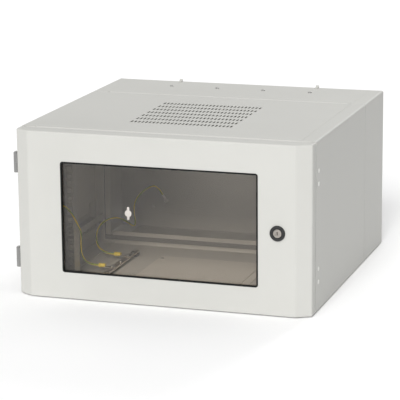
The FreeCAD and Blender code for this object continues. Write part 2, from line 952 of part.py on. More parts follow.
front_bottom = cross_panel(
    "front_bottom_panel", False, FRONT, SEAM, "front_lip", "seam_floor_lip", FRONT_NOTCH
)
plate_front = f"({FRONT} + floor_plate_setback)"
plate_back = f"({plate_front} + floor_plate_length)"
floor_opening_half = "floor_plate_half_width - floor_opening_margin"
floor_opening = rectangle(
    f"-({floor_opening_half})",
    floor_opening_half,
    f"{plate_front} + floor_opening_margin",
    f"{plate_back} - floor_opening_margin",
)
pocket(front_bottom, "XY", [floor_opening], BOTTOM, FLOOR)
floor_screw_places = [
    (f"{side}*(floor_plate_half_width - floor_screw_inset)", y)
    for side in (-1, 1)
    for y in (f"{plate_front} + floor_screw_setback", f"{plate_back} - floor_screw_setback")
]
floor_holes = [screw_hole(x, y) for x, y in floor_screw_places]
pocket(front_bottom, "XY", floor_holes, BOTTOM, FLOOR)

floor_plate = body("floor_cover_plate")
field_half = "floor_plate_half_width - floor_plate_margin"


def floor_field(shrink):
    """The raised field of the cover plate, drawn in by some amount."""
    return rectangle(
        f"-({field_half} - {shrink})",
        f"{field_half} - {shrink}",
        f"{plate_front} + floor_plate_margin + {shrink}",
        f"{plate_back} - floor_plate_margin - {shrink}",
    )


pad(
    floor_plate,
    "XY",
    [rectangle("-floor_plate_half_width", "floor_plate_half_width", plate_front, plate_back)],
    FLOOR,
    f"{FLOOR} + sheet",
)
pad(floor_plate, "XY", [floor_field("0")], f"{FLOOR} + sheet", f"{FLOOR} + 2*sheet")
pocket(floor_plate, "XY", [floor_field("sheet")], FLOOR, f"{FLOOR} + sheet")
pocket(floor_plate, "XY", floor_holes, FLOOR, f"{FLOOR} + sheet")
screws(
    "floor_plate_screws",
    "XY",
    floor_screw_places,
    f"{FLOOR} + sheet",
    f"{FLOOR} + sheet + screw_head_height",
    BOTTOM,
    f"{FLOOR} + sheet",
)

# rails with three square holes in each rack unit
rail_low, rail_high = f"{BOTTOM} + rail_clearance", f"{TOP} - rail_clearance"
first_unit = "-rack_unit*rack_units/2"
rails = {}
for side, word in ((-1, "left"), (1, "right")):
    rail = rails[word] = body(f"rail_{word}")
    inner = f"{side}*rail_half_opening"
    inner_face = f"{side}*(rail_half_opening + rail_sheet)"
    seat = f"{side}*{BRACE_WEB}"
    seat_face = f"{side}*({BRACE_WEB} - rail_sheet)"
    profile = polygon(
        (seat, RAIL_FACE),
        (inner, RAIL_FACE),
        (inner, f"{RAIL_FACE} + rail_return"),
        (inner_face, f"{RAIL_FACE} + rail_return"),
        (inner_face, f"{RAIL_FACE} + rail_sheet"),
        (seat_face, f"{RAIL_FACE} + rail_sheet"),
        (seat_face, f"{RAIL_FACE} + rail_seat_return"),
        (seat, f"{RAIL_FACE} + rail_seat_return"),
    )
    pad(rail, "XY", [profile], rail_low, rail_high)
    hole_x = f"{side}*rack_columns/2"
    unit_holes = []
    for step in range(3):
        middle = f"{first_unit} + rack_first_hole + {step}*rack_hole_step"
        unit_holes.append(
            rectangle(
                f"{hole_x} - rack_hole/2",
                f"{hole_x} + rack_hole/2",
                f"{middle} - rack_hole/2",
                f"{middle} + rack_hole/2",
            )
        )
    holes = pocket(rail, "XZ", unit_holes, RAIL_FACE, f"{RAIL_FACE} + rail_sheet")
    repeat(rail, holes, "V_Axis", "rack_unit*(rack_units - 1)", "rack_units")

# hat-section braces from front to back along both walls
rail_screw_heights = {
    "lower": f"({BOTTOM} + brace_inset + brace_height/2)",
    "upper": f"({TOP} - brace_inset - brace_height/2)",
}
brace_front = f"({FRONT} + sheet + brace_end_gap)"
brace_back = f"({SEAM} - sheet - brace_end_gap)"
slot_first = f"({brace_front} + brace_first_slot)"
rail_screw_y = f"({slot_first} + 3*brace_slot_pitch)"
for side, side_word in ((-1, "left"), (1, "right")):
    web_in = f"{side}*{BRACE_WEB}"
    web_out = f"{side}*({BRACE_WEB} + brace_sheet)"
    wall = f"{side}*(cabinet_width/2 - sheet)"
    foot = f"{side}*(cabinet_width/2 - sheet - brace_sheet)"
    for word, middle in rail_screw_heights.items():
        brace = body(f"depth_brace_{side_word}_{word}")
        low, high = f"({middle} - brace_height/2)", f"({middle} + brace_height/2)"
        pad(brace, "XZ", [rectangle(web_in, web_out, low, high)], brace_front, brace_back)
        legs = [
            polygon(
                (web_in, low),
                (foot, low),
                (foot, f"{low} - brace_foot"),
                (wall, f"{low} - brace_foot"),
                (wall, f"{low} + brace_sheet"),
                (web_in, f"{low} + brace_sheet"),
            ),
            polygon(
                (web_in, high),
                (foot, high),
                (foot, f"{high} + brace_foot"),
                (wall, f"{high} + brace_foot"),
                (wall, f"{high} - brace_sheet"),
                (web_in, f"{high} - brace_sheet"),
            ),
        ]
        pad(brace, "XZ", legs, brace_front, f"{SEAM} - brace_leg_end")
        slot = punched_slot(slot_first, middle, "brace_slot_length", "brace_slot_width")
        web_low, web_high = (web_in, web_out) if side > 0 else (web_out, web_in)
        slots = pocket(brace, "YZ", [slot], web_low, web_high)
        repeat(brace, slots, "H_Axis", "brace_slot_pitch*(brace_slot_count - 1)", "brace_slot_count")

rail_screws = body("rail_screws")
rail_screw_points = [(rail_screw_y, height) for height in rail_screw_heights.values()]
for side, word in ((-1, "left"), (1, "right")):
    head = (f"({BRACE_WEB} - rail_sheet - screw_head_height)", f"({BRACE_WEB} - rail_sheet)")
    shank = (f"({BRACE_WEB} - rail_sheet)", f"({BRACE_WEB} + brace_sheet)")
    nut = (f"({BRACE_WEB} + brace_sheet)", f"({BRACE_WEB} + brace_sheet + nut_thickness)")
    for ends, radius, sides in (
        (head, "screw_head_radius", HEAD_SIDES),
        (shank, "screw_shank_radius", SHANK_SIDES),
        (nut, "nut_radius", NUT_SIDES),
    ):
        low, high = (f"-{ends[1]}", f"-{ends[0]}") if side < 0 else ends
        outlines = [regular(y, z, radius, sides) for y, z in rail_screw_points]
        pad(rail_screws, "YZ", outlines, low, high)
    seat = (f"({BRACE_WEB} - rail_sheet)", BRACE_WEB)
    low, high = (f"-{seat[1]}", f"-{seat[0]}") if side < 0 else seat
    pocket(rails[word], "YZ", [screw_hole(y, z) for y, z in rail_screw_points], low, high)

# ---------------------------------------------------------------- earth bar and its leads
bar = body("earth_bar")
bar_low, bar_high = "-bar_offset - bar_width/2", "-bar_offset + bar_width/2"
pad(
    bar,
    "XY",
    [rectangle(bar_low, bar_high, "-bar_front", "-bar_back")],
    f"{BAR_TOP} - bar_thickness",
    BAR_TOP,
)
bar_base = body("earth_bar_base")
base_feet = [
    rectangle(bar_low, bar_high, f"-{end} - {inward}*bar_foot_length", f"-{end}")
    for end, inward in (("bar_back", 1), ("bar_front", -1))
]
pad(bar_base, "XY", base_feet, FLOOR, f"{BAR_TOP} - bar_thickness")

bar_screw_places = [("door_lead_screw", 1), ("rear_lead_screw", 1), ("middle_screw", 0), ("last_screw", 0)]
bar_screws = body("earth_bar_screws")
for place, lugs_under in bar_screw_places:
    head_seat = f"{BAR_TOP} + {lugs_under}*lug_sheet"
    centre = ("-bar_offset", f"-{place}")
    pad(
        bar_screws,
        "XY",
        [regular(*centre, "screw_head_radius", HEAD_SIDES)],
        head_seat,
        f"{head_seat} + bar_screw_head",
    )
    pad(
        bar_screws,
        "XY",
        [regular(*centre, "screw_shank_radius", SHANK_SIDES)],
        f"{BAR_TOP} - bar_thickness",
        head_seat,
    )
pocket(
    bar,
    "XY",
    [screw_hole("-bar_offset", f"-{place}") for place, _ in bar_screw_places],
    f"{BAR_TOP} - bar_thickness",
    BAR_TOP,
)

lugs = body("earth_bar_lugs")
barrel_start = "(-bar_offset - lug_tongue_length + lug_sheet)"
barrel_end = "(-bar_offset - lug_tongue_length - lug_barrel_length)"
barrel_height = f"({BAR_TOP} + lug_barrel_radius)"
for place in ("door_lead_screw", "rear_lead_screw"):
    pad(
        lugs,
        "XY",
        [
            rectangle(
                "-bar_offset - lug_tongue_length",
                "-bar_offset + lug_ring_radius",
                f"-{place} - lug_ring_radius",
                f"-{place} + lug_ring_radius",
            )
        ],
        BAR_TOP,
        f"{BAR_TOP} + lug_sheet",
    )
    barrel = regular(f"-{place}", barrel_height, "lug_barrel_radius", HEAD_SIDES)
    pad(lugs, "YZ", [barrel], barrel_end, barrel_start)
pocket(
    lugs,
    "XY",
    [screw_hole("-bar_offset", f"-{place}") for place in ("door_lead_screw", "rear_lead_screw")],
    BAR_TOP,
    f"{BAR_TOP} + lug_sheet",
)


def place_of(offset, ahead, rise):
    """A point from its offset to the right, its distance in front of the wall and its rise."""
    return FreeCAD.Vector(offset, -ahead, rise - SIZES["cabinet_height"] / 2)


def stud(name, centre, face, out):
    """A welded stud along Y with a collar on its face and a nut that clamps the lug between them."""
    made = body(name)
    layers = (
        (regular(*centre, "stud_radius", HEAD_SIDES), "0", "stud_length"),
        (regular(*centre, "nut_radius", HEAD_SIDES), "0", "2*lug_sheet"),
        (regular(*centre, "nut_radius", NUT_SIDES), "3*lug_sheet", "3*lug_sheet + nut_thickness"),
    )
    for outline, first, last in layers:
        ends = (f"{face} + {out}*({first})", f"{face} + {out}*({last})")
        pad(made, "XZ", [outline], *(ends if out > 0 else reversed(ends)))
    return made


def crimp_lug(name, centre, seat, direction):
    """A cable lug whose ring faces along Y, with its barrel in a direction; gives the barrel's mouth."""
    ring = doc.addObject("Part::Prism", "LugRing")
    ring.Polygon = HEAD_SIDES
    ring.setExpression("Circumradius", bound("lug_ring_radius"))
    ring.setExpression("Height", bound("lug_sheet"))
    ring_rotation = FreeCAD.Rotation(FreeCAD.Vector(0, 0, 1), FreeCAD.Vector(0, -1, 0))
    ring.Placement = FreeCAD.Placement(centre + seat, ring_rotation)
    hole = doc.addObject("Part::Prism", "LugHole")
    hole.Polygon = HEAD_SIDES
    hole.setExpression("Circumradius", bound("stud_radius + panel_fit"))
    hole.setExpression("Height", bound("4*lug_sheet"))
    hole.Placement = FreeCAD.Placement(
        centre + seat + FreeCAD.Vector(0, 2 * SIZES["lug_sheet"], 0), ring_rotation
    )
    unit = FreeCAD.Vector(direction).normalize()
    root = centre + seat + unit * (SIZES["lug_ring_radius"] - SIZES["lug_sheet"] / 2)
    root.y -= SIZES["lug_sheet"] / 2
    barrel = doc.addObject("Part::Prism", "LugBarrel")
    barrel.Polygon = HEAD_SIDES
    barrel.setExpression("Circumradius", bound("lug_barrel_radius"))
    barrel.setExpression("Height", bound("lug_barrel_length"))
    barrel.Placement = FreeCAD.Placement(
        root, FreeCAD.Rotation(FreeCAD.Vector(0, 0, 1), unit)
    )
    whole = doc.addObject("Part::Fuse", "LugWhole")
    whole.Base, whole.Tool = ring, barrel
    lug = doc.addObject("Part::Cut", name)
    lug.Base, lug.Tool = whole, hole
    lug.Label = name
    nodes.append(lug)
    return root + unit * SIZES["lug_barrel_length"]


def lead(name, points):
    """A cable along straight runs joined by tangent arcs, each as large as its two runs allow."""
    edges, last, radii = [], points[0], []
    for before, corner, after in zip(points, points[1:], points[2:]):
        back, forward = before - corner, after - corner
        turn = math.pi - back.getAngle(forward)
        run = min(back.Length, forward.Length)
        setback = 0.45 * run
        radii.append(setback / math.tan(turn / 2))
        start = corner + back.normalize() * setback
        end = corner + forward.normalize() * setback
        chord_middle = (start + end) * 0.5
        to_corner = corner - chord_middle
        sagitta = radii[-1] * (1 - math.cos(turn / 2))
        middle = chord_middle + to_corner.normalize() * sagitta
        edges.append(Part.LineSegment(last, start).toShape())
        edges.append(Part.Arc(start, middle, end).toShape())
        last = end
    edges.append(Part.LineSegment(last, points[-1]).toShape())
    path = Part.Wire(edges)
    ring = Part.Circle(points[0], points[1] - points[0], SIZES["lead_radius"])
    corners = [ring.value(2 * math.pi * n / LEAD_SIDES) for n in range(LEAD_SIDES + 1)]
    section = Part.makePolygon(corners)
    tube = path.makePipeShell([section], True, False)
    expected = Part.Face(section).Area * path.Length
    print(
        f"{name}: length {path.Length:.1f}, least radius {min(radii):.1f}, "
        f"volume {tube.Volume:.1f} against {expected:.1f}"
    )
    made = doc.addObject("Part::Feature", name)
    made.Shape = tube
    made.Label = name
    nodes.append(made)


sheet_gauge = SIZES["sheet"]
back_stud_centre = place_of(-SIZES["back_stud_offset"], 3 * sheet_gauge, SIZES["back_stud_rise"])
door_inner_face = (
    SIZES["body_depth"] + SIZES["door_gap"] + SIZES["door_depth"] - sheet_gauge
)
door_stud_centre = place_of(
    SIZES["door_stud_inset"] - SIZES["cabinet_width"] / 2, door_inner_face, SIZES["door_stud_rise"]
)
stud(
    "back_earth_stud",
    ("(-back_stud_offset)", f"({BOTTOM} + back_stud_rise)"),
    BACK_COVER_FRONT,
    -1,
)
back_lug_mouth = crimp_lug(
    "back_earth_lug",
    back_stud_centre,
    FreeCAD.Vector(0, -2 * SIZES["lug_sheet"], 0),
    (-0.496, 0, 0.868),
)
stud(
    "door_earth_stud",
    (f"({LEFT} + door_stud_inset)", f"({BOTTOM} + door_stud_rise)"),
    DOOR_INSIDE,
    1,
)
door_lug_mouth = crimp_lug(
    "door_earth_lug",
    door_stud_centre,
    FreeCAD.Vector(0, 3 * SIZES["lug_sheet"], 0),
    (1, 0, 0),
)

lug_mouth_offset = -SIZES["bar_offset"] - SIZES["lug_tongue_length"] - SIZES["lug_barrel_length"]
bar_top_rise = sheet_gauge + SIZES["bar_stand"] + SIZES["bar_thickness"]
lug_mouth_rise = bar_top_rise + SIZES["lug_barrel_radius"]
door_lead_points = [
    door_lug_mouth,
    door_lug_mouth + FreeCAD.Vector(11, 0, 0),
    door_lug_mouth + FreeCAD.Vector(19.7, 6.3, 0.4),
    place_of(-221.5, 576.0, 176.0),
    place_of(-221.5, 560.0, 176.5),
    place_of(-223.0, 543.0, 175.0),
    place_of(-223.0, 525.0, 168.0),
    place_of(-219.0, 505.0, 152.0),
    place_of(-217.0, 480.0, 123.0),
    place_of(-218.5, 455.0, 98.0),
    place_of(-227.5, 437.0, 76.0),
    place_of(-231.0, 428.0, 50.0),
    place_of(-231.0, 414.0, 31.0),
    place_of(-228.0, 400.0, 20.0),
    place_of(lug_mouth_offset - 12.0, SIZES["door_lead_screw"], lug_mouth_rise),
    place_of(lug_mouth_offset, SIZES["door_lead_screw"], lug_mouth_rise),
]
lead("door_earth_lead", door_lead_points)
rear_lead_points = [
    place_of(lug_mouth_offset, SIZES["rear_lead_screw"], lug_mouth_rise),
    place_of(lug_mouth_offset - 14.0, SIZES["rear_lead_screw"], lug_mouth_rise),
    place_of(-234.0, 291.0, 16.0),
    place_of(-253.0, 272.0, 18.5),
    place_of(-268.0, 247.0, 28.0),
    place_of(-276.5, 219.0, 43.0),
    place_of(-272.5, 191.0, 55.0),
    place_of(-260.5, 165.0, 58.5),
    place_of(-250.0, 140.0, 51.0),
    place_of(-243.0, 118.0, 38.0),
    place_of(-238.0, 103.0, 27.0),
    place_of(-236.0, 91.0, 24.5),
    place_of(-239.0, 80.0, 32.0),
    place_of(-245.0, 71.0, 45.0),
    place_of(-249.0, 61.0, 60.0),
    place_of(-247.0, 51.0, 75.0),
    place_of(-237.0, 41.0, 89.0),
    place_of(-225.0, 31.0, 98.0),
    place_of(-214.5, 21.0, 101.0),
    back_lug_mouth + FreeCAD.Vector(-9.5, -3.5, 15.5),
    back_lug_mouth + FreeCAD.Vector(-0.496, 0, 0.868) * 10,
    back_lug_mouth,
]
lead("rear_earth_lead", rear_lead_points)

# ---------------------------------------------------------------- door
door_low, door_high = f"({BOTTOM} + door_inset)", f"({TOP} - door_inset)"
door_panel = body("door_panel")
door_plan = polygon(
    (LEFT, DOOR_BACK),
    (LEFT, f"{DOOR_FRONT} + bevel_depth"),
    (f"{LEFT} + bevel_width", DOOR_FRONT),
    (f"{RIGHT} - bevel_width", DOOR_FRONT),
    (RIGHT, f"{DOOR_FRONT} + bevel_depth"),
    (RIGHT, DOOR_BACK),
)
pan = pad(door_panel, "XY", [door_plan], door_low, door_high)
doc.recompute()
open_back = [
    f"Face{number}"
    for number, face in enumerate(pan.Shape.Faces, start=1)
    if near(face.BoundBox.YMin, pan.Shape.BoundBox.YMax)
]
shell = door_panel.newObject("PartDesign::Thickness", "Shell")
shell.Base = (pan, open_back)
shell.setExpression("Value", bound("sheet"))
shell.Reversed = True
door_panel.Tip = shell
return_ring = [
    rectangle(LEFT, RIGHT, door_low, door_high),
    rectangle(
        f"{LEFT} + door_return",
        f"{RIGHT} - door_return",
        f"{door_low} + door_return",
        f"{door_high} - door_return",
    ),
]
pad(door_panel, "XZ", return_ring, f"{DOOR_BACK} - sheet", DOOR_BACK)


def window(grow):
    """The window's outline, grown or shrunk on every side."""
    return rectangle(
        f"{WINDOW_LEFT} - ({grow})",
        f"{WINDOW_RIGHT} + ({grow})",
        f"{WINDOW_BOTTOM} - ({grow})",
        f"{WINDOW_TOP} + ({grow})",
    )


def is_corner(middle, box):
    """Whether an edge stands at a corner of the body's outline, seen along Y."""
    at_side = near(middle.x, box.XMin) or near(middle.x, box.XMax)
    return at_side and (near(middle.z, box.ZMin) or near(middle.z, box.ZMax))


pocket(door_panel, "XZ", [window("0")], DOOR_FRONT, DOOR_INSIDE)
fillet(
    door_panel,
    "window_radius",
    "y",
    lambda middle, box: near(middle.y, -door_inner_face - sheet_gauge / 2)
    and abs(middle.x) < SIZES["cabinet_width"] / 2 - SIZES["bevel_width"] - 1,
)
pocket(
    door_panel,
    "XZ",
    [circle(LOCK_X, LOCK_Z, "lock_barrel_radius + panel_fit")],
    DOOR_FRONT,
    DOOR_INSIDE,
)

glass = body("door_glass")
pad(glass, "XZ", [window("glass_cover")], GLASS_FRONT, GLASS_BACK)
fillet(glass, "window_radius", "y", is_corner)

seal = body("window_seal")
pad(
    seal,
    "XZ",
    [window("-panel_fit/2"), window("-seal_lip")],
    f"{DOOR_FRONT} - seal_stand",
    GLASS_FRONT,
)
fillet(seal, "window_radius", "y", is_corner)
fillet(
    seal,
    "window_radius - seal_lip",
    "y",
    lambda middle, box: not (near(middle.x, box.XMin) or near(middle.x, box.XMax))
    and abs(middle.z - box.Center.z) > box.ZLength / 2 - SIZES["seal_lip"] - 1
    and near(abs(middle.x - box.Center.x), box.XLength / 2 - SIZES["seal_lip"] + SIZES["panel_fit"] / 2),
)
pad(seal, "XZ", [window("seal_cover"), window("-seal_lip/2")], DOOR_INSIDE, GLASS_FRONT)

retainers = body("glass_retainers")
retainer_outer = "(seal_cover + panel_fit + retainer_sheet)"
pad(
    retainers,
    "XZ",
    [window(retainer_outer), window("glass_cover - retainer_lap")],
    GLASS_BACK,
    f"{GLASS_BACK} + retainer_sheet",
)
pad(
    retainers,
    "XZ",
    [window(retainer_outer), window("seal_cover + panel_fit")],
    DOOR_INSIDE,
    f"{GLASS_BACK} + retainer_sheet",
)

door_gasket = body("door_gasket")
gasket_edge = "(door_return - gasket_width)/2"
pad(
    door_gasket,
    "XZ",
    [
        rectangle(
            f"{LEFT} + {gasket_edge} + {ring}*gasket_width",
            f"{RIGHT} - {gasket_edge} - {ring}*gasket_width",
            f"{door_low} + {gasket_edge} + {ring}*gasket_width",
            f"{door_high} - {gasket_edge} - {ring}*gasket_width",
        )
        for ring in (0, 1)
    ],
    DOOR_BACK,
    f"{FRONT} - gasket_clearance",
)

# ---------------------------------------------------------------- lock
housing_front = f"({DOOR_FRONT} - lock_ring_stand)"
housing_back = f"({DOOR_FRONT} + lock_barrel_length)"
housing = body("lock_housing")
pad(housing, "XZ", [circle(LOCK_X, LOCK_Z, "lock_ring_radius")], housing_front, DOOR_FRONT)
pad(housing, "XZ", [circle(LOCK_X, LOCK_Z, "lock_barrel_radius")], DOOR_FRONT, housing_back)
pocket(
    housing,
    "XZ",
    [circle(LOCK_X, LOCK_Z, "lock_cylinder_radius + lock_clearance")],
    housing_front,
    housing_back,
)
nut = body("lock_nut")
nut_back = f"{DOOR_INSIDE} + lock_nut_thickness"
pad(nut, "XZ", [regular(LOCK_X, LOCK_Z, "lock_nut_radius", NUT_SIDES)], DOOR_INSIDE, nut_back)
pocket(
    nut,
    "XZ",
    [circle(LOCK_X, LOCK_Z, "lock_barrel_radius + panel_fit")],
    DOOR_INSIDE,
    nut_back,
)

cylinder = body("lock_cylinder")
cylinder_front = f"({housing_front} + lock_cylinder_sunk)"
cam_back = f"({CAM_FRONT} + cam_thickness)"
square = rectangle(
    f"{LOCK_X} - cam_square/2",
    f"{LOCK_X} + cam_square/2",
    f"{LOCK_Z} - cam_square/2",
    f"{LOCK_Z} + cam_square/2",
)
pad(cylinder, "XZ", [circle(LOCK_X, LOCK_Z, "lock_cylinder_radius")], cylinder_front, CAM_FRONT)
pad(cylinder, "XZ", [square], CAM_FRONT, cam_back)
key_slot = rectangle(
    f"{LOCK_X} - key_slot_width/2",
    f"{LOCK_X} + key_slot_width/2",
    f"{LOCK_Z} - key_slot_length/2",
    f"{LOCK_Z} + key_slot_length/2",
)
pocket(cylinder, "XZ", [key_slot], cylinder_front, f"{cylinder_front} + key_slot_depth")

cam = body("lock_cam")
cam_plate = rectangle(
    f"{LOCK_X} - cam_width/2",
    f"{LOCK_X} + cam_width/2",
    f"{LOCK_Z} - cam_reach",
    f"{LOCK_Z} + cam_width/2",
)
pad(cam, "XZ", [cam_plate], CAM_FRONT, cam_back)
fillet(cam, "cam_width/2 - panel_fit", "y", lambda middle, box: near(middle.z, box.ZMax))
cam_hole = rectangle(
    f"{LOCK_X} - cam_square/2 - panel_fit/2",
    f"{LOCK_X} + cam_square/2 + panel_fit/2",
    f"{LOCK_Z} - cam_square/2 - panel_fit/2",
    f"{LOCK_Z} + cam_square/2 + panel_fit/2",
)
pocket(cam, "XZ", [cam_hole], CAM_FRONT, cam_back)
cam_screw = screws(
    "cam_screw",
    "XZ",
    [(LOCK_X, LOCK_Z)],
    cam_back,
    f"{cam_back} + screw_head_height",
    cam_back,
    f"{cam_back} + screw_head_height/2",
)
pad(
    cam_screw,
    "XZ",
    [regular(LOCK_X, LOCK_Z, "cam_width/2 - sheet/2", HEAD_SIDES)],
    cam_back,
    f"{cam_back} + sheet/2",
)

# ---------------------------------------------------------------- checks and files
doc.recompute()
for item in doc.Objects:
    if "Invalid" in item.State or "Error" in item.State:
        raise ValueError(f"{item.Label} did not recompute: {item.State}")
for node in nodes:
    if node.Shape.isNull() or not node.Shape.isValid():
        raise ValueError(f"{node.Label} has no valid shape")

os.makedirs("parts", exist_ok=True)
for node in nodes:
    node.Shape.exportStep(f"parts/{node.Label}.step")
print(f"{len(nodes)} nodes")
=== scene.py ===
"""Finishes, fine pieces and studio of a wall mount network cabinet.

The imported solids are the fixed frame. Each sub-assembly below builds its pieces over that
frame, in metres and in the frame's own axes: X right, Y into the wall, Z up.
"""

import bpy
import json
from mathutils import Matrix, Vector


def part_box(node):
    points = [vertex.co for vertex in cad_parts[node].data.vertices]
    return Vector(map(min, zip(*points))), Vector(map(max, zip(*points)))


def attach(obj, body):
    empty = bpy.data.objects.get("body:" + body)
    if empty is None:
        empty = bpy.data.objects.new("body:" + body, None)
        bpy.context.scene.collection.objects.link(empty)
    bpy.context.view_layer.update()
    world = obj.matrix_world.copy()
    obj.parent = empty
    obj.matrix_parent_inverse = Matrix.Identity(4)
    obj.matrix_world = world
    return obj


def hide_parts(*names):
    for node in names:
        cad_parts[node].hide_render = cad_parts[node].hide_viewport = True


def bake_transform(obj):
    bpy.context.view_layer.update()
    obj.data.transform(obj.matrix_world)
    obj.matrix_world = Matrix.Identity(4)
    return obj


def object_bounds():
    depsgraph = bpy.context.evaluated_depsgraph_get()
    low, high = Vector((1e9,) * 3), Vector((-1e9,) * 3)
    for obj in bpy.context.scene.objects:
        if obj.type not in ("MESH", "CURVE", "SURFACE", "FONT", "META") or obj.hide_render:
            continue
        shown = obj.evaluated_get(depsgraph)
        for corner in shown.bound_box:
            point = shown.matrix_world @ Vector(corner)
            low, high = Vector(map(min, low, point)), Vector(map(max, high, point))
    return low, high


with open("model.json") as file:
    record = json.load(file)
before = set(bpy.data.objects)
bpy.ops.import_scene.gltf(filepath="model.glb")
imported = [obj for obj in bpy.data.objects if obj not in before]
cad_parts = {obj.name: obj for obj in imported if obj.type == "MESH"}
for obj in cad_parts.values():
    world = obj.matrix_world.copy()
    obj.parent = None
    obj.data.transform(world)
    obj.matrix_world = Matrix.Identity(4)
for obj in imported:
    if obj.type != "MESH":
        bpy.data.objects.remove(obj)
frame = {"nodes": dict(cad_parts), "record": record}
CAD_BOX = [list(corner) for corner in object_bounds()]

import json
import logging
import math
from collections.abc import Callable, Iterator
from contextlib import contextmanager
from dataclasses import dataclass
from enum import Enum

import bmesh
import bpy
from mathutils import Matrix, Vector

LOG = logging.getLogger("cabinet")
Colour = tuple[float, float, float]
Point = tuple[float, float, float]
Range = tuple[float, float]
Piece = bpy.types.Object
Socket = bpy.types.NodeSocket
Tree = bpy.types.NodeTree
Number = float | Socket
Element = bmesh.types.BMFace | bmesh.types.BMEdge

MERGE_DISTANCE = 1e-6
FLAT_ANGLE = math.radians(0.5)
FOLD_ANGLE = math.radians(20)
BREAK_ANGLE = math.radians(50)
SMOOTH_DEGREES = 40.0


class Body(Enum):
    """The record's bodies."""

    REAR_SECTION = "rear_section"
    FRONT_SECTION = "front_section"
    FRONT_DOOR = "front_door"
    LOCK_BARREL = "lock_barrel"
    UPPER_BUTTON = "upper_button"
    LOWER_BUTTON = "lower_button"


class Slot(Enum):
    """The record's material slots."""

    GREY_PAINT = "grey_paint"
    ZINC_STEEL = "zinc_steel"
    TINNED_COPPER = "tinned_copper"
    BRASS = "brass"
    BLACK_PLASTIC = "black_plastic"
    WHITE_PLASTIC = "white_plastic"
    SMOKED_GLASS = "smoked_glass"
    BLACK_RUBBER = "black_rubber"
    GREY_FOAM = "grey_foam"
    LEAD_JACKET = "lead_jacket"


SLOT_OF = {
    subpart["node"]: Slot(subpart["material_slot"]) for subpart in frame["record"]["subparts"]
}
BODY_OF = {
    node: Body(body)
    for body, nodes in frame["record"]["behaviour"]["bodies"].items()
    for node in nodes
}


# ---- node trees
class Graph:
    """A shader tree that is built node by node."""

    def __init__(self, tree: Tree) -> None:
        """Keeps the tree."""
        self.tree = tree

    def link(self, source: Socket, target: Socket) -> None:
        """Links two sockets."""
        self.tree.links.new(source, target)

    def feed(self, target: bpy.types.Node, inputs: dict) -> None:
        """Sets or links a node's inputs.

        Args:
            target: The node.
            inputs: Values or sockets by the name or number of the input.
        """
        for key, value in inputs.items():
            if isinstance(value, Socket):
                self.link(value, target.inputs[key])
            else:
                target.inputs[key].default_value = value

    def node(self, kind: str, inputs: dict | None = None, **settings: object) -> bpy.types.Node:
        """Adds a node.

        Args:
            kind: The node's type name.
            inputs: Values or sockets by the name or number of the input.
            **settings: The node's own properties.

        Returns:
            The new node.
        """
        made = self.tree.nodes.new(kind)
        for key, value in settings.items():
            setattr(made, key, value)
        self.feed(made, inputs or {})
        return made

    def math(self, operation: str, *values: Number, clamp: bool = False) -> Socket:
        """The result of a Math node on values or sockets."""
        inputs = dict(enumerate(values))
        return self.node("ShaderNodeMath", inputs, operation=operation, use_clamp=clamp).outputs[0]

    def plus(self, first: Number, second: Number) -> Socket:
        """The sum of two values or sockets."""
        return self.math("ADD", first, second)

    def minus(self, first: Number, second: Number) -> Socket:
        """The difference of two values or sockets."""
        return self.math("SUBTRACT", first, second)

    def times(self, first: Number, second: Number, clamp: bool = False) -> Socket:
        """The product of two values or sockets, held between 0 and 1 if clamped."""
        return self.math("MULTIPLY", first, second, clamp=clamp)

    def dot(self, first: Socket, second: Point | Socket) -> Socket:
        """The dot product of two vectors."""
        values = {0: first, 1: second}
        return self.node("ShaderNodeVectorMath", values, operation="DOT_PRODUCT").outputs["Value"]

    def mix(self, factor: Number, first: Colour | Socket, second: Colour | Socket) -> Socket:
        """Mixes two colours.

        Args:
            factor: The share of the second colour.
            first: A colour or a socket.
            second: A colour or a socket.

        Returns:
            The mixed colour.
        """
        ends = [value if isinstance(value, Socket) else (*value, 1) for value in (first, second)]
        values = {"Factor": factor, 6: ends[0], 7: ends[1]}
        return self.node("ShaderNodeMix", values, data_type="RGBA").outputs[2]

    def between(self, factor: Number, low: float, high: float) -> Socket:
        """A value that runs from low to high as the factor runs from 0 to 1."""
        values = {"Value": factor, "To Min": low, "To Max": high}
        return self.node("ShaderNodeMapRange", values).outputs["Result"]

    def coordinates(self, kind: str = "Object") -> Socket:
        """The texture coordinates of that kind."""
        return self.node("ShaderNodeTexCoord").outputs[kind]

    def noise(self, scale: Number, detail: float) -> Socket:
        """The value of a noise of that scale per metre."""
        values = {"Vector": self.coordinates(), "Scale": scale, "Detail": detail}
        return self.node("ShaderNodeTexNoise", values).outputs[0]

    def group(self, tree: Tree, **inputs: float) -> Socket:
        """Places a shared effect with its own values and returns its output."""
        return self.node("ShaderNodeGroup", inputs, node_tree=tree).outputs[0]


class EffectGraph(Graph):
    """The tree of an effect that several finishes share, as a node group."""

    def __init__(self, name: str, inputs: dict[str, float], output: str) -> None:
        """Makes the group.

        Args:
            name: The group's name.
            inputs: The group's inputs with their usual values.
            output: The name of its one output.
        """
        super().__init__(bpy.data.node_groups.new(name, "ShaderNodeTree"))
        sockets, kind = self.tree.interface, "NodeSocketFloat"
        for key, value in inputs.items():
            sockets.new_socket(key, in_out="INPUT", socket_type=kind).default_value = value
        sockets.new_socket(output, in_out="OUTPUT", socket_type=kind)
        self.given = self.node("NodeGroupInput").outputs

    def put_out(self, value: Socket) -> Tree:
        """Links the value to the group's output and returns the group."""
        self.link(value, self.node("NodeGroupOutput").inputs[0])
        return self.tree


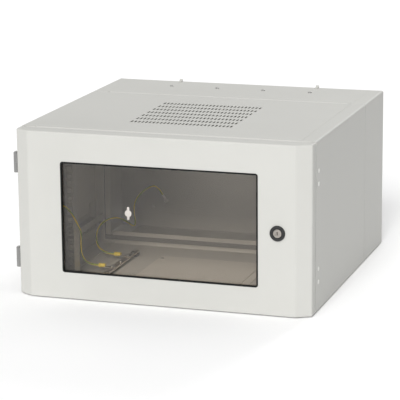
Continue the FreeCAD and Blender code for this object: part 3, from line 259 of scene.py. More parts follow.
class Effects:
    """The effects that more than one finish uses."""

    def __init__(self) -> None:
        """Builds each group once."""
        self.tone = self.build_tone()
        self.grain = self.build_grain()
        self.edges = self.build_edges()
        self.dust = self.build_dust()

    def build_tone(self) -> Tree:
        """Builds slow changes of shade over a panel.

        Returns:
            The group; its Tone lies between 0 and 1.
        """
        graph = EffectGraph("SlowTone", {"Scale": 4.0}, "Tone")
        scale = graph.given["Scale"]
        broad = graph.noise(scale, detail=2.0)
        fine = graph.noise(graph.times(scale, 7.0), detail=3.0)
        both = graph.plus(graph.times(broad, 0.7), graph.times(fine, 0.3))
        return graph.put_out(graph.between(both, low=-0.6, high=1.6))

    def build_grain(self) -> Tree:
        """Builds a fine grain, such as the skin of a powder coat.

        Returns:
            The group; it puts out the grain's height.
        """
        graph = EffectGraph("FineGrain", {"Scale": 900.0}, "Height")
        scale = graph.given["Scale"]
        coarse = graph.noise(scale, detail=2.0)
        fine = graph.noise(graph.times(scale, 3.1), detail=1.0)
        return graph.put_out(graph.plus(graph.times(coarse, 0.75), graph.times(fine, 0.25)))

    def build_edges(self) -> Tree:
        """Builds a mask of outer and inner edges, broken up by a noise.

        Returns:
            The group.
        """
        graph = EffectGraph("EdgeMask", {"Radius": 0.0012, "Breakup": 120.0}, "Mask")
        soft = graph.node("ShaderNodeBevel", {"Radius": graph.given["Radius"]}, samples=6)
        hard = graph.node("ShaderNodeNewGeometry")
        alike = graph.dot(soft.outputs["Normal"], hard.outputs["Normal"])
        turn = graph.times(graph.minus(1.0, alike), 5.0, clamp=True)
        spots = graph.noise(graph.given["Breakup"], detail=4.0)
        patches = graph.between(spots, low=-0.4, high=1.5)
        return graph.put_out(graph.times(turn, patches, clamp=True))

    def build_dust(self) -> Tree:
        """Builds a mask of the thin dust that settles on faces that look up.

        Returns:
            The group.
        """
        graph = EffectGraph("SettledDust", {"Scale": 60.0}, "Mask")
        normal = graph.node("ShaderNodeNewGeometry").outputs["Normal"]
        rise = graph.node("ShaderNodeSeparateXYZ", {0: normal}).outputs["Z"]
        upwards = graph.math("MAXIMUM", rise, 0.0)
        spots = graph.noise(graph.given["Scale"], detail=6.0)
        flecks = graph.between(spots, low=-0.5, high=1.4)
        return graph.put_out(graph.times(upwards, flecks, clamp=True))


# ---- finishes
@dataclass(frozen=True)
class Finish:
    """What every finish has: its slot's name and the making of its material."""

    slot: Slot

    def inputs(self, graph: Graph, effects: Effects) -> dict:
        """The Principled shader's values and sockets; each finish has its own."""
        raise NotImplementedError

    def build(self, effects: Effects) -> bpy.types.Material:
        """Makes the material.

        Args:
            effects: The shared effects.

        Returns:
            The material.
        """
        material = bpy.data.materials.new(self.slot.value + "_finish")
        material.use_nodes = True
        graph = Graph(material.node_tree)
        graph.feed(graph.tree.nodes["Principled BSDF"], self.inputs(graph, effects))
        return material


@dataclass(frozen=True)
class GrainedFinish(Finish):
    """A finish with a fine grain on its skin."""

    grain_scale: float = 1500.0
    grain_strength: float = 0.1
    grain_depth: float = 0.0002

    def grain(self, graph: Graph, effects: Effects) -> Socket:
        """Lays the grain on the surface.

        Args:
            graph: The material's graph.
            effects: The shared effects.

        Returns:
            The normal.
        """
        height = graph.group(effects.grain, Scale=self.grain_scale)
        values = {"Strength": self.grain_strength, "Distance": self.grain_depth, "Height": height}
        return graph.node("ShaderNodeBump", values).outputs["Normal"]


@dataclass(frozen=True)
class PowderCoat(GrainedFinish):
    """Light grey textured powder coat on folded steel sheet."""

    paint: Colour = (0.545, 0.543, 0.515)
    shade: Colour = (0.515, 0.513, 0.485)
    # Lighter colour on edges and folds: partly wear, partly painted highlight.
    worn_edge_and_highlight: Colour = (0.62, 0.62, 0.6)
    dust: Colour = (0.5, 0.49, 0.45)
    roughness: Range = (0.44, 0.54)
    shine: float = 0.5
    tone_scale: float = 3.5
    grain_scale: float = 1100.0
    grain_strength: float = 0.07
    grain_depth: float = 0.0004
    edge_radius: float = 0.0012
    edge_breakup: float = 140.0
    edge_share: float = 0.5
    dust_scale: float = 45.0
    dust_share: float = 0.1

    def inputs(self, graph: Graph, effects: Effects) -> dict:
        """Builds the coat's colours, dust, edges lightened as wear and as painted highlight, and
        grain.

        Args:
            graph: The material's graph.
            effects: The shared effects.

        Returns:
            The shader's inputs.
        """
        tone = graph.group(effects.tone, Scale=self.tone_scale)
        edges = graph.group(effects.edges, Radius=self.edge_radius, Breakup=self.edge_breakup)
        dust = graph.group(effects.dust, Scale=self.dust_scale)
        colour = graph.mix(tone, self.shade, self.paint)
        colour = graph.mix(graph.times(dust, self.dust_share), colour, self.dust)
        # Edges take the lighter colour: partly wear, partly painted highlight.
        colour = graph.mix(graph.times(edges, self.edge_share), colour, self.worn_edge_and_highlight)
        return {
            "Base Color": colour,
            "Roughness": graph.between(tone, *self.roughness),
            "Normal": self.grain(graph, effects),
            "Specular IOR Level": self.shine,
        }


@dataclass(frozen=True)
class Plating(GrainedFinish):
    """Bright metal plating with crystal patches, fine grain and edges lightened as wear and as
    painted highlight.
    """

    metal: Colour = (0.62, 0.62, 0.6)
    patch: Colour = (0.5, 0.5, 0.49)
    worn_edge_and_highlight: Colour = (0.8, 0.8, 0.78)
    roughness: Range = (0.3, 0.46)
    patch_scale: float = 260.0
    edge_radius: float = 0.0006
    edge_breakup: float = 300.0
    edge_share: float = 0.6

    def inputs(self, graph: Graph, effects: Effects) -> dict:
        """Builds the plating's patches, edges lightened as wear and as painted highlight, and
        grain.

        Args:
            graph: The material's graph.
            effects: The shared effects.

        Returns:
            The shader's inputs.
        """
        values = {"Vector": graph.coordinates(), "Scale": self.patch_scale}
        crystals = graph.node("ShaderNodeTexVoronoi", values).outputs["Color"]
        patch = graph.node("ShaderNodeSeparateColor", {"Color": crystals}).outputs["Red"]
        edges = graph.group(effects.edges, Radius=self.edge_radius, Breakup=self.edge_breakup)
        colour = graph.mix(patch, self.patch, self.metal)
        return {
            # Edges take the lighter colour: partly wear, partly painted highlight.
            "Base Color": graph.mix(graph.times(edges, self.edge_share), colour, self.worn_edge_and_highlight),
            "Metallic": 1.0,
            "Roughness": graph.between(patch, *self.roughness),
            "Normal": self.grain(graph, effects),
        }


@dataclass(frozen=True)
class Moulding(GrainedFinish):
    """Plain moulded plastic, rubber or foam with a matt skin."""

    colour: Colour = (0.02, 0.02, 0.02)
    worn: Colour = (0.07, 0.07, 0.07)
    roughness: Range = (0.4, 0.6)
    shine: float = 0.3
    tone_scale: float = 40.0
    grain_scale: float = 1600.0
    grain_strength: float = 0.12
    edge_radius: float = 0.0005
    edge_breakup: float = 400.0
    worn_share: float = 0.35

    def inputs(self, graph: Graph, effects: Effects) -> dict:
        """Builds the skin's worn patches, edges and grain.

        Args:
            graph: The material's graph.
            effects: The shared effects.

        Returns:
            The shader's inputs.
        """
        tone = graph.group(effects.tone, Scale=self.tone_scale)
        edges = graph.group(effects.edges, Radius=self.edge_radius, Breakup=self.edge_breakup)
        amount = graph.times(graph.plus(tone, edges), self.worn_share)
        return {
            "Base Color": graph.mix(amount, self.colour, self.worn),
            "Roughness": graph.between(tone, *self.roughness),
            "Specular IOR Level": self.shine,
            "Normal": self.grain(graph, effects),
        }


@dataclass(frozen=True)
class SmokedGlass(Finish):
    """Brown-grey tinted glass with faint smears."""

    tint: Colour = (0.93, 0.865, 0.8)
    cast: Colour = (1.0, 0.97, 0.93)
    veil: Colour = (0.45, 0.44, 0.42)
    roughness: Range = (0.0, 0.03)
    smear_scale: float = 14.0
    refraction: float = 1.5

    def inputs(self, graph: Graph, effects: Effects) -> dict:
        """Builds the tint and the smears.

        Args:
            graph: The material's graph.
            effects: The shared effects.

        Returns:
            The shader's inputs.
        """
        smears = graph.group(effects.tone, Scale=self.smear_scale)
        return {
            "Base Color": (*self.tint, 1),
            "Roughness": graph.between(smears, *self.roughness),
            "Transmission Weight": 1.0,
            "IOR": self.refraction,
        }

    def build(self, effects: Effects) -> bpy.types.Material:
        """Makes the material, which lets shadow and diffuse rays straight through.

        Args:
            effects: The shared effects.

        Returns:
            The material.
        """
        material = super().build(effects)
        graph = Graph(material.node_tree)
        glass = graph.tree.nodes["Principled BSDF"].outputs[0]
        rays = graph.node("ShaderNodeLightPath").outputs
        lighting = graph.math("MAXIMUM", rays["Is Shadow Ray"], rays["Is Diffuse Ray"])
        colour = graph.mix(rays["Is Diffuse Ray"], self.cast, self.veil)
        clear = graph.node("ShaderNodeBsdfTransparent", {"Color": colour}).outputs[0]
        blend = graph.node("ShaderNodeMixShader", {0: lighting, 1: glass, 2: clear}).outputs[0]
        graph.link(blend, graph.tree.nodes["Material Output"].inputs["Surface"])
        return material


@dataclass(frozen=True)
class LeadJacket(GrainedFinish):
    """Yellow jacket with green stripes along the lead, laid in a long twist.

    The UV map runs round the lead in U and in metres along it in V.
    """

    yellow: Colour = (0.85, 0.68, 0.07)
    green: Colour = (0.08, 0.3, 0.05)
    roughness: Range = (0.35, 0.5)
    tone_scale: float = 60.0
    grain_scale: float = 2200.0
    grain_strength: float = 0.08
    turn_length: float = 0.18
    stripes: float = 2.0
    stripe_edge: Range = (0.68, 0.72)

    def inputs(self, graph: Graph, effects: Effects) -> dict:
        """Builds the stripes and the grain.

        Args:
            graph: The material's graph.
            effects: The shared effects.

        Returns:
            The shader's inputs.
        """
        parts = graph.node("ShaderNodeSeparateXYZ", {0: graph.coordinates("UV")}).outputs
        turns = graph.math("DIVIDE", parts["Y"], self.turn_length)
        around = graph.math("FRACT", graph.times(graph.plus(parts["X"], turns), self.stripes))
        low, high = self.stripe_edge
        values = {"Value": around, "From Min": low, "From Max": high}
        stripe = graph.node("ShaderNodeMapRange", values, interpolation_type="SMOOTHSTEP")
        tone = graph.group(effects.tone, Scale=self.tone_scale)
        return {
            "Base Color": graph.mix(stripe.outputs["Result"], self.yellow, self.green),
            "Roughness": graph.between(tone, *self.roughness),
            "Normal": self.grain(graph, effects),
        }


CYLINDER_NICKEL = Plating(
    Slot.ZINC_STEEL, metal=(0.5, 0.46, 0.42), patch=(0.4, 0.37, 0.34), worn_edge_and_highlight=(0.62, 0.58, 0.54)
)
# Dark grey on the hinge leaves: partly their own finish, partly painted shade for hinges that stand
# in shadow.
HINGE_PAINT_AND_SHADE = PowderCoat(
    Slot.GREY_PAINT, paint=(0.24, 0.24, 0.235), shade=(0.21, 0.21, 0.205), worn_edge_and_highlight=(0.36, 0.36, 0.35)
)
# Lighter paint on the floor cover plate: partly its own paler colour, partly painted light where
# light through the window falls on it.
COVER_PAINT_AND_LIGHT = PowderCoat(Slot.GREY_PAINT, paint=(0.66, 0.65, 0.61), shade=(0.62, 0.61, 0.57))
SLEEVE_YELLOW = Moulding(
    Slot.LEAD_JACKET,
    colour=(0.85, 0.68, 0.07),
    worn=(0.75, 0.6, 0.1),
    roughness=(0.35, 0.5),
    shine=0.5,
)


class Wardrobe:
    """All the finishes, and which CAD node or piece wears which."""

    FINISHES = (
        PowderCoat(Slot.GREY_PAINT),
        Plating(Slot.ZINC_STEEL),
        Plating(
            Slot.TINNED_COPPER, metal=(0.7, 0.69, 0.67), patch=(0.6, 0.58, 0.55), patch_scale=600.0
        ),
        Plating(
            Slot.BRASS, metal=(0.7, 0.64, 0.55), patch=(0.6, 0.54, 0.45), worn_edge_and_highlight=(0.85, 0.78, 0.66)
        ),
        Moulding(Slot.BLACK_PLASTIC),
        Moulding(Slot.WHITE_PLASTIC, colour=(0.78, 0.78, 0.75), worn=(0.7, 0.69, 0.65), shine=0.5),
        SmokedGlass(Slot.SMOKED_GLASS),
        Moulding(
            Slot.BLACK_RUBBER,
            colour=(0.009, 0.01, 0.01),
            worn=(0.03, 0.03, 0.03),
            shine=0.12,
            grain_scale=900.0,
        ),
        # The seam foam's dark grey: partly its own grey, and darker still as painted shade in the
        # narrow seam gap.
        Moulding(
            Slot.GREY_FOAM,
            colour=(0.2, 0.2, 0.195),
            worn=(0.25, 0.25, 0.24),
            roughness=(0.75, 0.9),
            shine=0.15,
            grain_scale=700.0,
            grain_strength=0.35,
        ),
        LeadJacket(Slot.LEAD_JACKET),
    )

    def __init__(self) -> None:
        """Builds the shared effects and every finish."""
        self.effects = Effects()
        self.materials = {finish.slot: finish.build(self.effects) for finish in self.FINISHES}
        LOG.info("finishes: %d", len(self.materials))

    def dress(self, piece: Piece, slot: Slot, finish: Finish | None = None) -> None:
        """Gives a new piece its finish and names its slot.

        Args:
            piece: The piece.
            slot: The record's slot that the piece belongs to.
            finish: A finish of its own, where the slot's usual one isn't worn.
        """
        material = finish.build(self.effects) if finish else self.materials[slot]
        piece.data.materials.clear()
        piece.data.materials.append(material)
        LOG.info("piece: %s", piece.name)

    def stand_in(self, piece: Piece, node: str, finish: Finish | None = None) -> None:
        """Dresses a piece that takes a CAD node's place and puts it on the node's body.

        Args:
            piece: The piece.
            node: The CAD node that it replaces.
            finish: A finish of its own, where the slot's usual one isn't worn.
        """
        self.dress(piece, SLOT_OF[node], finish)
        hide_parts(node)
        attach(piece, BODY_OF[node].value)

    def dress_nodes(self) -> None:
        """Gives every CAD node the finish that the record names for it."""
        for node, slot in SLOT_OF.items():
            materials = frame["nodes"][node].data.materials
            materials.clear()
            materials.append(self.materials[slot])


# ---- bench work
def select_only(*pieces: Piece) -> None:
    """Selects the pieces and nothing else, with the first one active."""
    bpy.ops.object.select_all(action="DESELECT")
    for piece in pieces:
        piece.select_set(True)
    bpy.context.view_layer.objects.active = pieces[0]


@contextmanager
def editing(piece: Piece) -> Iterator[bmesh.types.BMesh]:
    """Opens a piece in edit mode with nothing selected.

    Args:
        piece: The piece to shape.

    Yields:
        Its edit mesh.
    """
    select_only(piece)
    bpy.ops.object.mode_set(mode="EDIT")
    bpy.ops.mesh.select_all(action="DESELECT")
    yield bmesh.from_edit_mesh(piece.data)
    bpy.ops.object.mode_set(mode="OBJECT")


def pick(piece: Piece, kind: str, test: Callable[[Element], bool]) -> None:
    """Selects faces or edges of the piece that is being edited.

    Args:
        piece: The piece.
        kind: "FACE" or "EDGE".
        test: Says whether to take a face or edge.
    """
    bpy.ops.mesh.select_mode(type=kind)
    bpy.ops.mesh.select_all(action="DESELECT")
    mesh = bmesh.from_edit_mesh(piece.data)
    for element in mesh.faces if kind == "FACE" else mesh.edges:
        element.select_set(test(element))
    bmesh.update_edit_mesh(piece.data)


def apply(piece: Piece, kind: str, **settings: object) -> None:
    """Adds a modifier and applies it.

    Args:
        piece: The piece.
        kind: The modifier's type name.
        **settings: The modifier's own properties.
    """
    select_only(piece)
    modifier = piece.modifiers.new(kind.title(), kind)
    for key, value in settings.items():
        setattr(modifier, key, value)
    bpy.ops.object.modifier_apply(modifier=modifier.name)


def smooth(piece: Piece, degrees: float = SMOOTH_DEGREES) -> None:
    """Shades the piece smooth except at edges sharper than the angle."""
    select_only(piece)
    bpy.ops.object.shade_smooth_by_angle(angle=math.radians(degrees))


def solid_of_rings(name: str, steps: list[Range], corners: int) -> Piece:
    """Turns a profile of rings round the Z axis by extruding and resizing a circle.

    Args:
        name: The piece's name.
        steps: Radius and height of each ring in order. Where the first and last step are the
            same the rings close on themselves; otherwise both ends are filled.
        corners: How many corners each ring has.

    Returns:
        The piece, with doubles merged and normals outward.
    """
    bpy.ops.object.select_all(action="DESELECT")
    radius, height = steps[0]
    bpy.ops.mesh.primitive_circle_add(vertices=corners, radius=radius, location=(0, 0, height))
    piece = bpy.context.object
    piece.name = piece.data.name = name
    bpy.ops.object.transform_apply()
    with editing(piece):
        bpy.ops.mesh.select_mode(type="EDGE")
        bpy.ops.mesh.select_all(action="SELECT")
        for next_radius, next_height in steps[1:]:
            rise, ratio = next_height - height, next_radius / radius
            bpy.ops.mesh.extrude_edges_move(TRANSFORM_OT_translate={"value": (0, 0, rise)})
            bpy.ops.transform.resize(value=(ratio, ratio, 1), center_override=(0, 0, next_height))
            radius, height = next_radius, next_height
        bpy.ops.mesh.select_all(action="SELECT")
        bpy.ops.mesh.remove_doubles(threshold=MERGE_DISTANCE)
        if steps[0] != steps[-1]:
            bpy.ops.mesh.select_all(action="DESELECT")
            bpy.ops.mesh.select_mode(type="EDGE")
            bpy.ops.mesh.select_non_manifold(extend=False, use_wire=False, use_boundary=True)
            bpy.ops.mesh.fill_holes(sides=0)
        bpy.ops.mesh.select_all(action="SELECT")
        bpy.ops.mesh.normals_make_consistent(inside=False)
    return piece


def carve(piece: Piece, cutter: Piece) -> None:
    """Cuts the cutter's shape out of the piece and removes the cutter."""
    apply(piece, "BOOLEAN", object=cutter, operation="DIFFERENCE", solver="EXACT", use_self=True)
    bpy.data.objects.remove(cutter)


def block(size: Point, centre: Point) -> Piece:
    """Makes a box.

    Args:
        size: Its size along X, Y and Z.
        centre: Its centre.

    Returns:
        The box.
    """
    bpy.ops.object.select_all(action="DESELECT")
    bpy.ops.mesh.primitive_cube_add(size=1, location=centre, scale=size)
    bpy.ops.object.transform_apply()
    return bpy.context.object


def set_down(piece: Piece, place: Point | Vector, up: Point, turn: float = 0.0) -> None:
    """Moves a piece's mesh to its place and leaves its object at the origin.

    Args:
        piece: The piece, modelled standing on the origin.
        place: Where its origin goes.
        up: Where its Z axis points.
        turn: How far it is turned round its own Z axis first, in radians.
    """
    tilt = Vector(up).to_track_quat("Z", "Y").to_matrix().to_4x4()
    piece.data.transform(Matrix.Translation(place) @ tilt @ Matrix.Rotation(turn, 4, "Z"))
    piece.data.update()


def join(name: str, pieces: list[Piece]) -> Piece:
    """Joins pieces into one.

    Args:
        name: The new piece's name.
        pieces: The pieces.

    Returns:
        The new piece.
    """
    select_only(*pieces)
    if len(pieces) > 1:
        bpy.ops.object.join()
    whole = bpy.context.view_layer.objects.active
    whole.name = whole.data.name = name
    return whole


def copy_of(piece: Piece) -> Piece:
    """Copies a piece.

    Args:
        piece: The piece.

    Returns:
        The copy, with its own mesh.
    """
    twin = piece.copy()
    twin.data = piece.data.copy()
    bpy.context.collection.objects.link(twin)
    return twin


def repeat(name: str, model: Piece, places: list, up: Point, turns: Range = (0.0, 0.0)) -> Piece:
    """Sets a copy of a model down at each place and joins the copies.

    Args:
        name: The joined piece's name.
        model: The model, standing on the origin; it is removed.
        places: Where the copies' origins go.
        up: Where their Z axes point.
        turns: How far the first copy is turned round its axis, and each next one more, in degrees.

    Returns:
        The joined piece.
    """
    copies = []
    for number, place in enumerate(places):
        copies.append(copy_of(model))
        set_down(copies[-1], place, up, math.radians(turns[0] + turns[1] * number))
    bpy.data.objects.remove(model)
    return join(name, copies)


def islands(node: str, reach: float = 0.01) -> list[tuple[Vector, Vector]]:
    """Finds the separate solids of a CAD node.

    Args:
        node: The node's name.
        reach: How far apart two corners of one solid may be along each axis.

    Returns:
        Lowest and highest corner of each solid, in order along X, Y and Z.
    """
    boxes: list[tuple[Vector, Vector]] = []
    for corner in frame["nodes"][node].data.vertices:
        low, high = corner.co.copy(), corner.co.copy()
        apart = []
        for box in boxes:
            if all(box[0][n] - reach <= corner.co[n] <= box[1][n] + reach for n in range(3)):
                low = Vector(map(min, low, box[0]))
                high = Vector(map(max, high, box[1]))
            else:
                apart.append(box)
        boxes = [*apart, (low, high)]
    return sorted(boxes, key=lambda box: tuple(round(value, 4) for value in box[0]))


# ---- camera and studio
def towards(azimuth: float, elevation: float) -> Vector:
    """Finds a direction from two angles.

    Args:
        azimuth: Degrees from straight in front, positive to the right.
        elevation: Degrees above level.

    Returns:
        The direction.
    """
    side, rise = math.radians(azimuth), math.radians(elevation)
    out = math.cos(rise)
    return Vector((math.sin(side) * out, -math.cos(side) * out, math.sin(rise)))


@dataclass
class CameraRig:
    """The camera in front of the cabinet, to its right and above it."""

    position: Point = (1.22175, -4.06881, 0.91897)
    yaw: float = 18.52
    pitch: float = 13.26
    roll: float = -0.59
    lens: float = 177.55
    sensor: float = 36.0
    shift: Range = (0.0285, -0.0093)
    clip: Range = (0.1, 50.0)

    def build(self) -> None:
        """Makes the camera and gives it to the scene."""
        yaw, roll = math.radians(self.yaw), math.radians(self.roll)
        ahead = -towards(self.yaw, self.pitch)
        level = Vector((math.cos(yaw), math.sin(yaw), 0))
        upright = level.cross(ahead)
        right = level * math.cos(roll) + upright * math.sin(roll)
        up = upright * math.cos(roll) - level * math.sin(roll)
        data = bpy.data.cameras.new("studio_camera")
        data.lens, data.sensor_width = self.lens, self.sensor
        data.shift_x, data.shift_y = self.shift
        data.clip_start, data.clip_end = self.clip
        camera = bpy.data.objects.new("studio_camera", data)
        bpy.context.collection.objects.link(camera)
        turn = Matrix((right, up, -ahead)).transposed().to_4x4()
        camera.matrix_world = Matrix.Translation(self.position) @ turn
        bpy.context.scene.camera = camera


@dataclass
class SoftSun:
    """A wide soft light from far away."""

    name: str
    azimuth: float
    elevation: float
    spread: float
    strength: float
    gloss: bool = True

    def build(self) -> None:
        """Makes the light."""
        data = bpy.data.lights.new(self.name, "SUN")
        data.angle, data.energy = math.radians(self.spread), self.strength
        lamp = bpy.data.objects.new(self.name, data)
        bpy.context.collection.objects.link(lamp)
        beam = -towards(self.azimuth, self.elevation)
        lamp.rotation_euler = beam.to_track_quat("-Z", "Y").to_euler()
        lamp.visible_glossy = self.gloss


@dataclass
class Studio:
    """A pale floor, a white surround and soft lamps.

    The key lamp isn't seen in reflections, because its full glare whitens faces that are seen
    against it; the glint lamp beside it gives the highlights.
    """

    floor_size: float = 16.0
    floor_gap: float = 0.0004
    floor_colour: Colour = (0.95, 0.95, 0.95)
    floor_mottle: float = 1.02
    floor_roughness: float = 0.9
    floor_shine: float = 0.1
    surround: Range = (0.2, 1.3)
    bright_side: Point = (-0.25, -0.2, 0.95)
    side_fall: float = 1.0
    backdrop: float = 1.0
    lamps: tuple[SoftSun, ...] = (
        SoftSun("key_lamp", azimuth=5, elevation=32, spread=26, strength=1.8, gloss=False),
        SoftSun("glint_lamp", azimuth=5, elevation=32, spread=26, strength=0.5),
        SoftSun("rim_lamp", azimuth=170, elevation=30, spread=12, strength=0.5),
    )

    def lay_floor(self) -> None:
        """Makes the floor under the cabinet."""
        low = CAD_BOX[0][2] - self.floor_gap
        bpy.ops.object.select_all(action="DESELECT")
        bpy.ops.mesh.primitive_plane_add(size=self.floor_size, location=(0, 0, low))
        floor = bpy.context.object
        floor.name = "floor"
        material = bpy.data.materials.new("floor_paper")
        material.use_nodes = True
        graph = Graph(material.node_tree)
        paler = tuple(value * self.floor_mottle for value in self.floor_colour)
        inputs = {
            "Base Color": graph.mix(graph.noise(2.0, 2.0), self.floor_colour, paler),
            "Roughness": self.floor_roughness,
            "Specular IOR Level": self.floor_shine,
        }
        graph.feed(graph.tree.nodes["Principled BSDF"], inputs)
        floor.data.materials.append(material)

    def light_surround(self) -> None:
        """Makes the world: brighter towards one side, darker sideways, even for the camera."""
        world = bpy.data.worlds.new("surround")
        world.use_nodes = True
        bpy.context.scene.world = world
        graph = Graph(world.node_tree)
        seen = graph.node("ShaderNodeLightPath").outputs["Is Camera Ray"]
        direction = graph.coordinates("Generated")
        lean = graph.dot(direction, Vector(self.bright_side).normalized())
        share = graph.plus(graph.times(lean, 0.5), 0.5)
        across = graph.node("ShaderNodeSeparateXYZ", {0: direction}).outputs["X"]
        loss = graph.times(graph.math("ABSOLUTE", across), self.side_fall)
        glow = graph.times(graph.between(share, *self.surround), graph.minus(1.0, loss))
        extra = graph.times(seen, graph.minus(self.backdrop, glow))
        inputs = {"Color": (1, 1, 1, 1), "Strength": graph.plus(glow, extra)}
        graph.feed(graph.tree.nodes["Background"], inputs)

    def build(self) -> None:
        """Makes the floor, the world and the lamps."""
        self.lay_floor()
        self.light_surround()
        for lamp in self.lamps:
            lamp.build()
        bpy.context.scene.view_settings.view_transform = "Standard"
        LOG.info("studio: floor and %d lamps", len(self.lamps))


# ---- earth leads
@dataclass
class EarthLead:
    """A stranded earth lead in a yellow and green jacket, from one lug to another."""

    name: str
    node: str
    route: tuple[Point, ...]
    length: float
    bodies: tuple[Body, Body]
    bend: tuple[Point, Point]
    diameter: float = 0.004
    sides: int = 14
    steps_per_point: int = 10
    smooth_degrees: float = 60.0

    def line(self) -> list[Vector]:
        """Draws the smooth line through the route's control points.

        Returns:
            The line's points in order.
        """
        data = bpy.data.curves.new(self.name + "_line", "CURVE")
        data.dimensions = "3D"
        data.resolution_u = self.steps_per_point
        spline = data.splines.new("NURBS")
        spline.points.add(len(self.route) - 1)
        for control, place in zip(spline.points, self.route):
            control.co = (*place, 1)
        spline.order_u = 3
        spline.use_endpoint_u = True
        guide = bpy.data.objects.new(self.name + "_line", data)
        bpy.context.collection.objects.link(guide)
        mesh = bpy.data.meshes.new_from_object(guide)
        points = [corner.co.copy() for corner in mesh.vertices]
        bpy.data.objects.remove(guide)
        bpy.data.meshes.remove(mesh)
        return points

    def tube(self, points: list[Vector]) -> Piece:
        """Makes the round jacket along the line.

        Args:
            points: The line's points in order.

        Returns:
            The closed tube, with a UV map round it in U and in metres along it in V.
        """
        radius = self.diameter / 2
        corners: list[Vector] = []
        lengths = [0.0]
        side = Vector((0, 0, 1))
        for number, point in enumerate(points):
            before, after = points[max(number - 1, 0)], points[min(number + 1, len(points) - 1)]
            ahead = (after - before).normalized()
            side = (side - ahead * side.dot(ahead)).normalized()
            across = ahead.cross(side)
            for step in range(self.sides):
                turn = 2 * math.pi * step / self.sides
                corners.append(point + (side * math.cos(turn) + across * math.sin(turn)) * radius)
            if number:
                lengths.append(lengths[-1] + (point - before).length)
        faces = []
        for ring in range(len(points) - 1):
            for step in range(self.sides):
                beside = (step + 1) % self.sides
                start, end = ring * self.sides, (ring + 1) * self.sides
                faces.append((start + step, start + beside, end + beside, end + step))
        last = (len(points) - 1) * self.sides
        faces.append(tuple(reversed(range(self.sides))))
        faces.append(tuple(range(last, last + self.sides)))
        mesh = bpy.data.meshes.new(self.name)
        mesh.from_pydata(corners, [], faces)
        layer = mesh.uv_layers.new(name="jacket")
        for face in mesh.polygons:
            steps = [mesh.loops[loop].vertex_index % self.sides for loop in face.loop_indices]
            wraps = max(steps) - min(steps) > 1
            for loop, step in zip(face.loop_indices, steps):
                around = self.sides if wraps and step == 0 else step
                ring = mesh.loops[loop].vertex_index // self.sides
                layer.data[loop].uv = (around / self.sides, lengths[ring])
        piece = bpy.data.objects.new(self.name, mesh)
        bpy.context.collection.objects.link(piece)
        return piece

    def build(self, wardrobe: Wardrobe) -> None:
        """Args:
            wardrobe: The finishes.
        """
        points = self.line()
        piece = self.tube(points)
        smooth(piece, self.smooth_degrees)
        wardrobe.dress(piece, Slot.LEAD_JACKET)
        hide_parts(self.node)
        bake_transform(piece)


DOOR_ROUTE = (
    (-0.24525, -0.59475, 0.007),
    (-0.23425, -0.59475, 0.007),
    (-0.22555, -0.58845, 0.0074),
    (-0.2215, -0.576, 0.008),
    (-0.2215, -0.56, 0.0085),
    (-0.223, -0.543, 0.007),
    (-0.223, -0.525, 0.0),
    (-0.219, -0.505, -0.016),
    (-0.217, -0.48, -0.045),
    (-0.2185, -0.455, -0.07),
    (-0.2275, -0.437, -0.092),
    (-0.231, -0.428, -0.118),
    (-0.231, -0.414, -0.137),
    (-0.228, -0.4, -0.148),
    (-0.218, -0.392, -0.153),
    (-0.206, -0.392, -0.153),
)
DOOR_LEAD = EarthLead(
    name="door_lead_jacket",
    node="door_earth_lead",
    route=DOOR_ROUTE,
    length=0.309,
    bodies=(Body.FRONT_DOOR, Body.FRONT_SECTION),
    bend=((-0.2215, -0.588, 0.0), (-0.2215, -0.545, 0.0)),
)

REAR_ROUTE = (
    (-0.206, -0.3, -0.153),
    (-0.22, -0.3, -0.153),
    (-0.234, -0.291, -0.152),
    (-0.253, -0.272, -0.1495),
    (-0.268, -0.247, -0.14),
    (-0.2765, -0.219, -0.125),
    (-0.2725, -0.191, -0.113),
    (-0.2605, -0.165, -0.1095),
    (-0.25, -0.14, -0.117),
    (-0.243, -0.118, -0.13),
    (-0.238, -0.103, -0.141),
    (-0.236, -0.091, -0.1435),
    (-0.239, -0.08, -0.136),
    (-0.245, -0.071, -0.123),
    (-0.249, -0.061, -0.108),
    (-0.247, -0.051, -0.093),
    (-0.237, -0.041, -0.079),
    (-0.225, -0.031, -0.07),
    (-0.2145, -0.021, -0.067),
    (-0.208808, -0.01175, -0.074961),
    (-0.204268, -0.00825, -0.081781),
    (-0.199308, -0.00825, -0.090461),
)
REAR_LEAD = EarthLead(
    name="rear_lead_jacket",
    node="rear_earth_lead",
    route=REAR_ROUTE,
    length=0.4147,
    bodies=(Body.FRONT_SECTION, Body.REAR_SECTION),
    bend=((-0.26, -0.19, -0.11), (-0.26, -0.14, -0.11)),
)


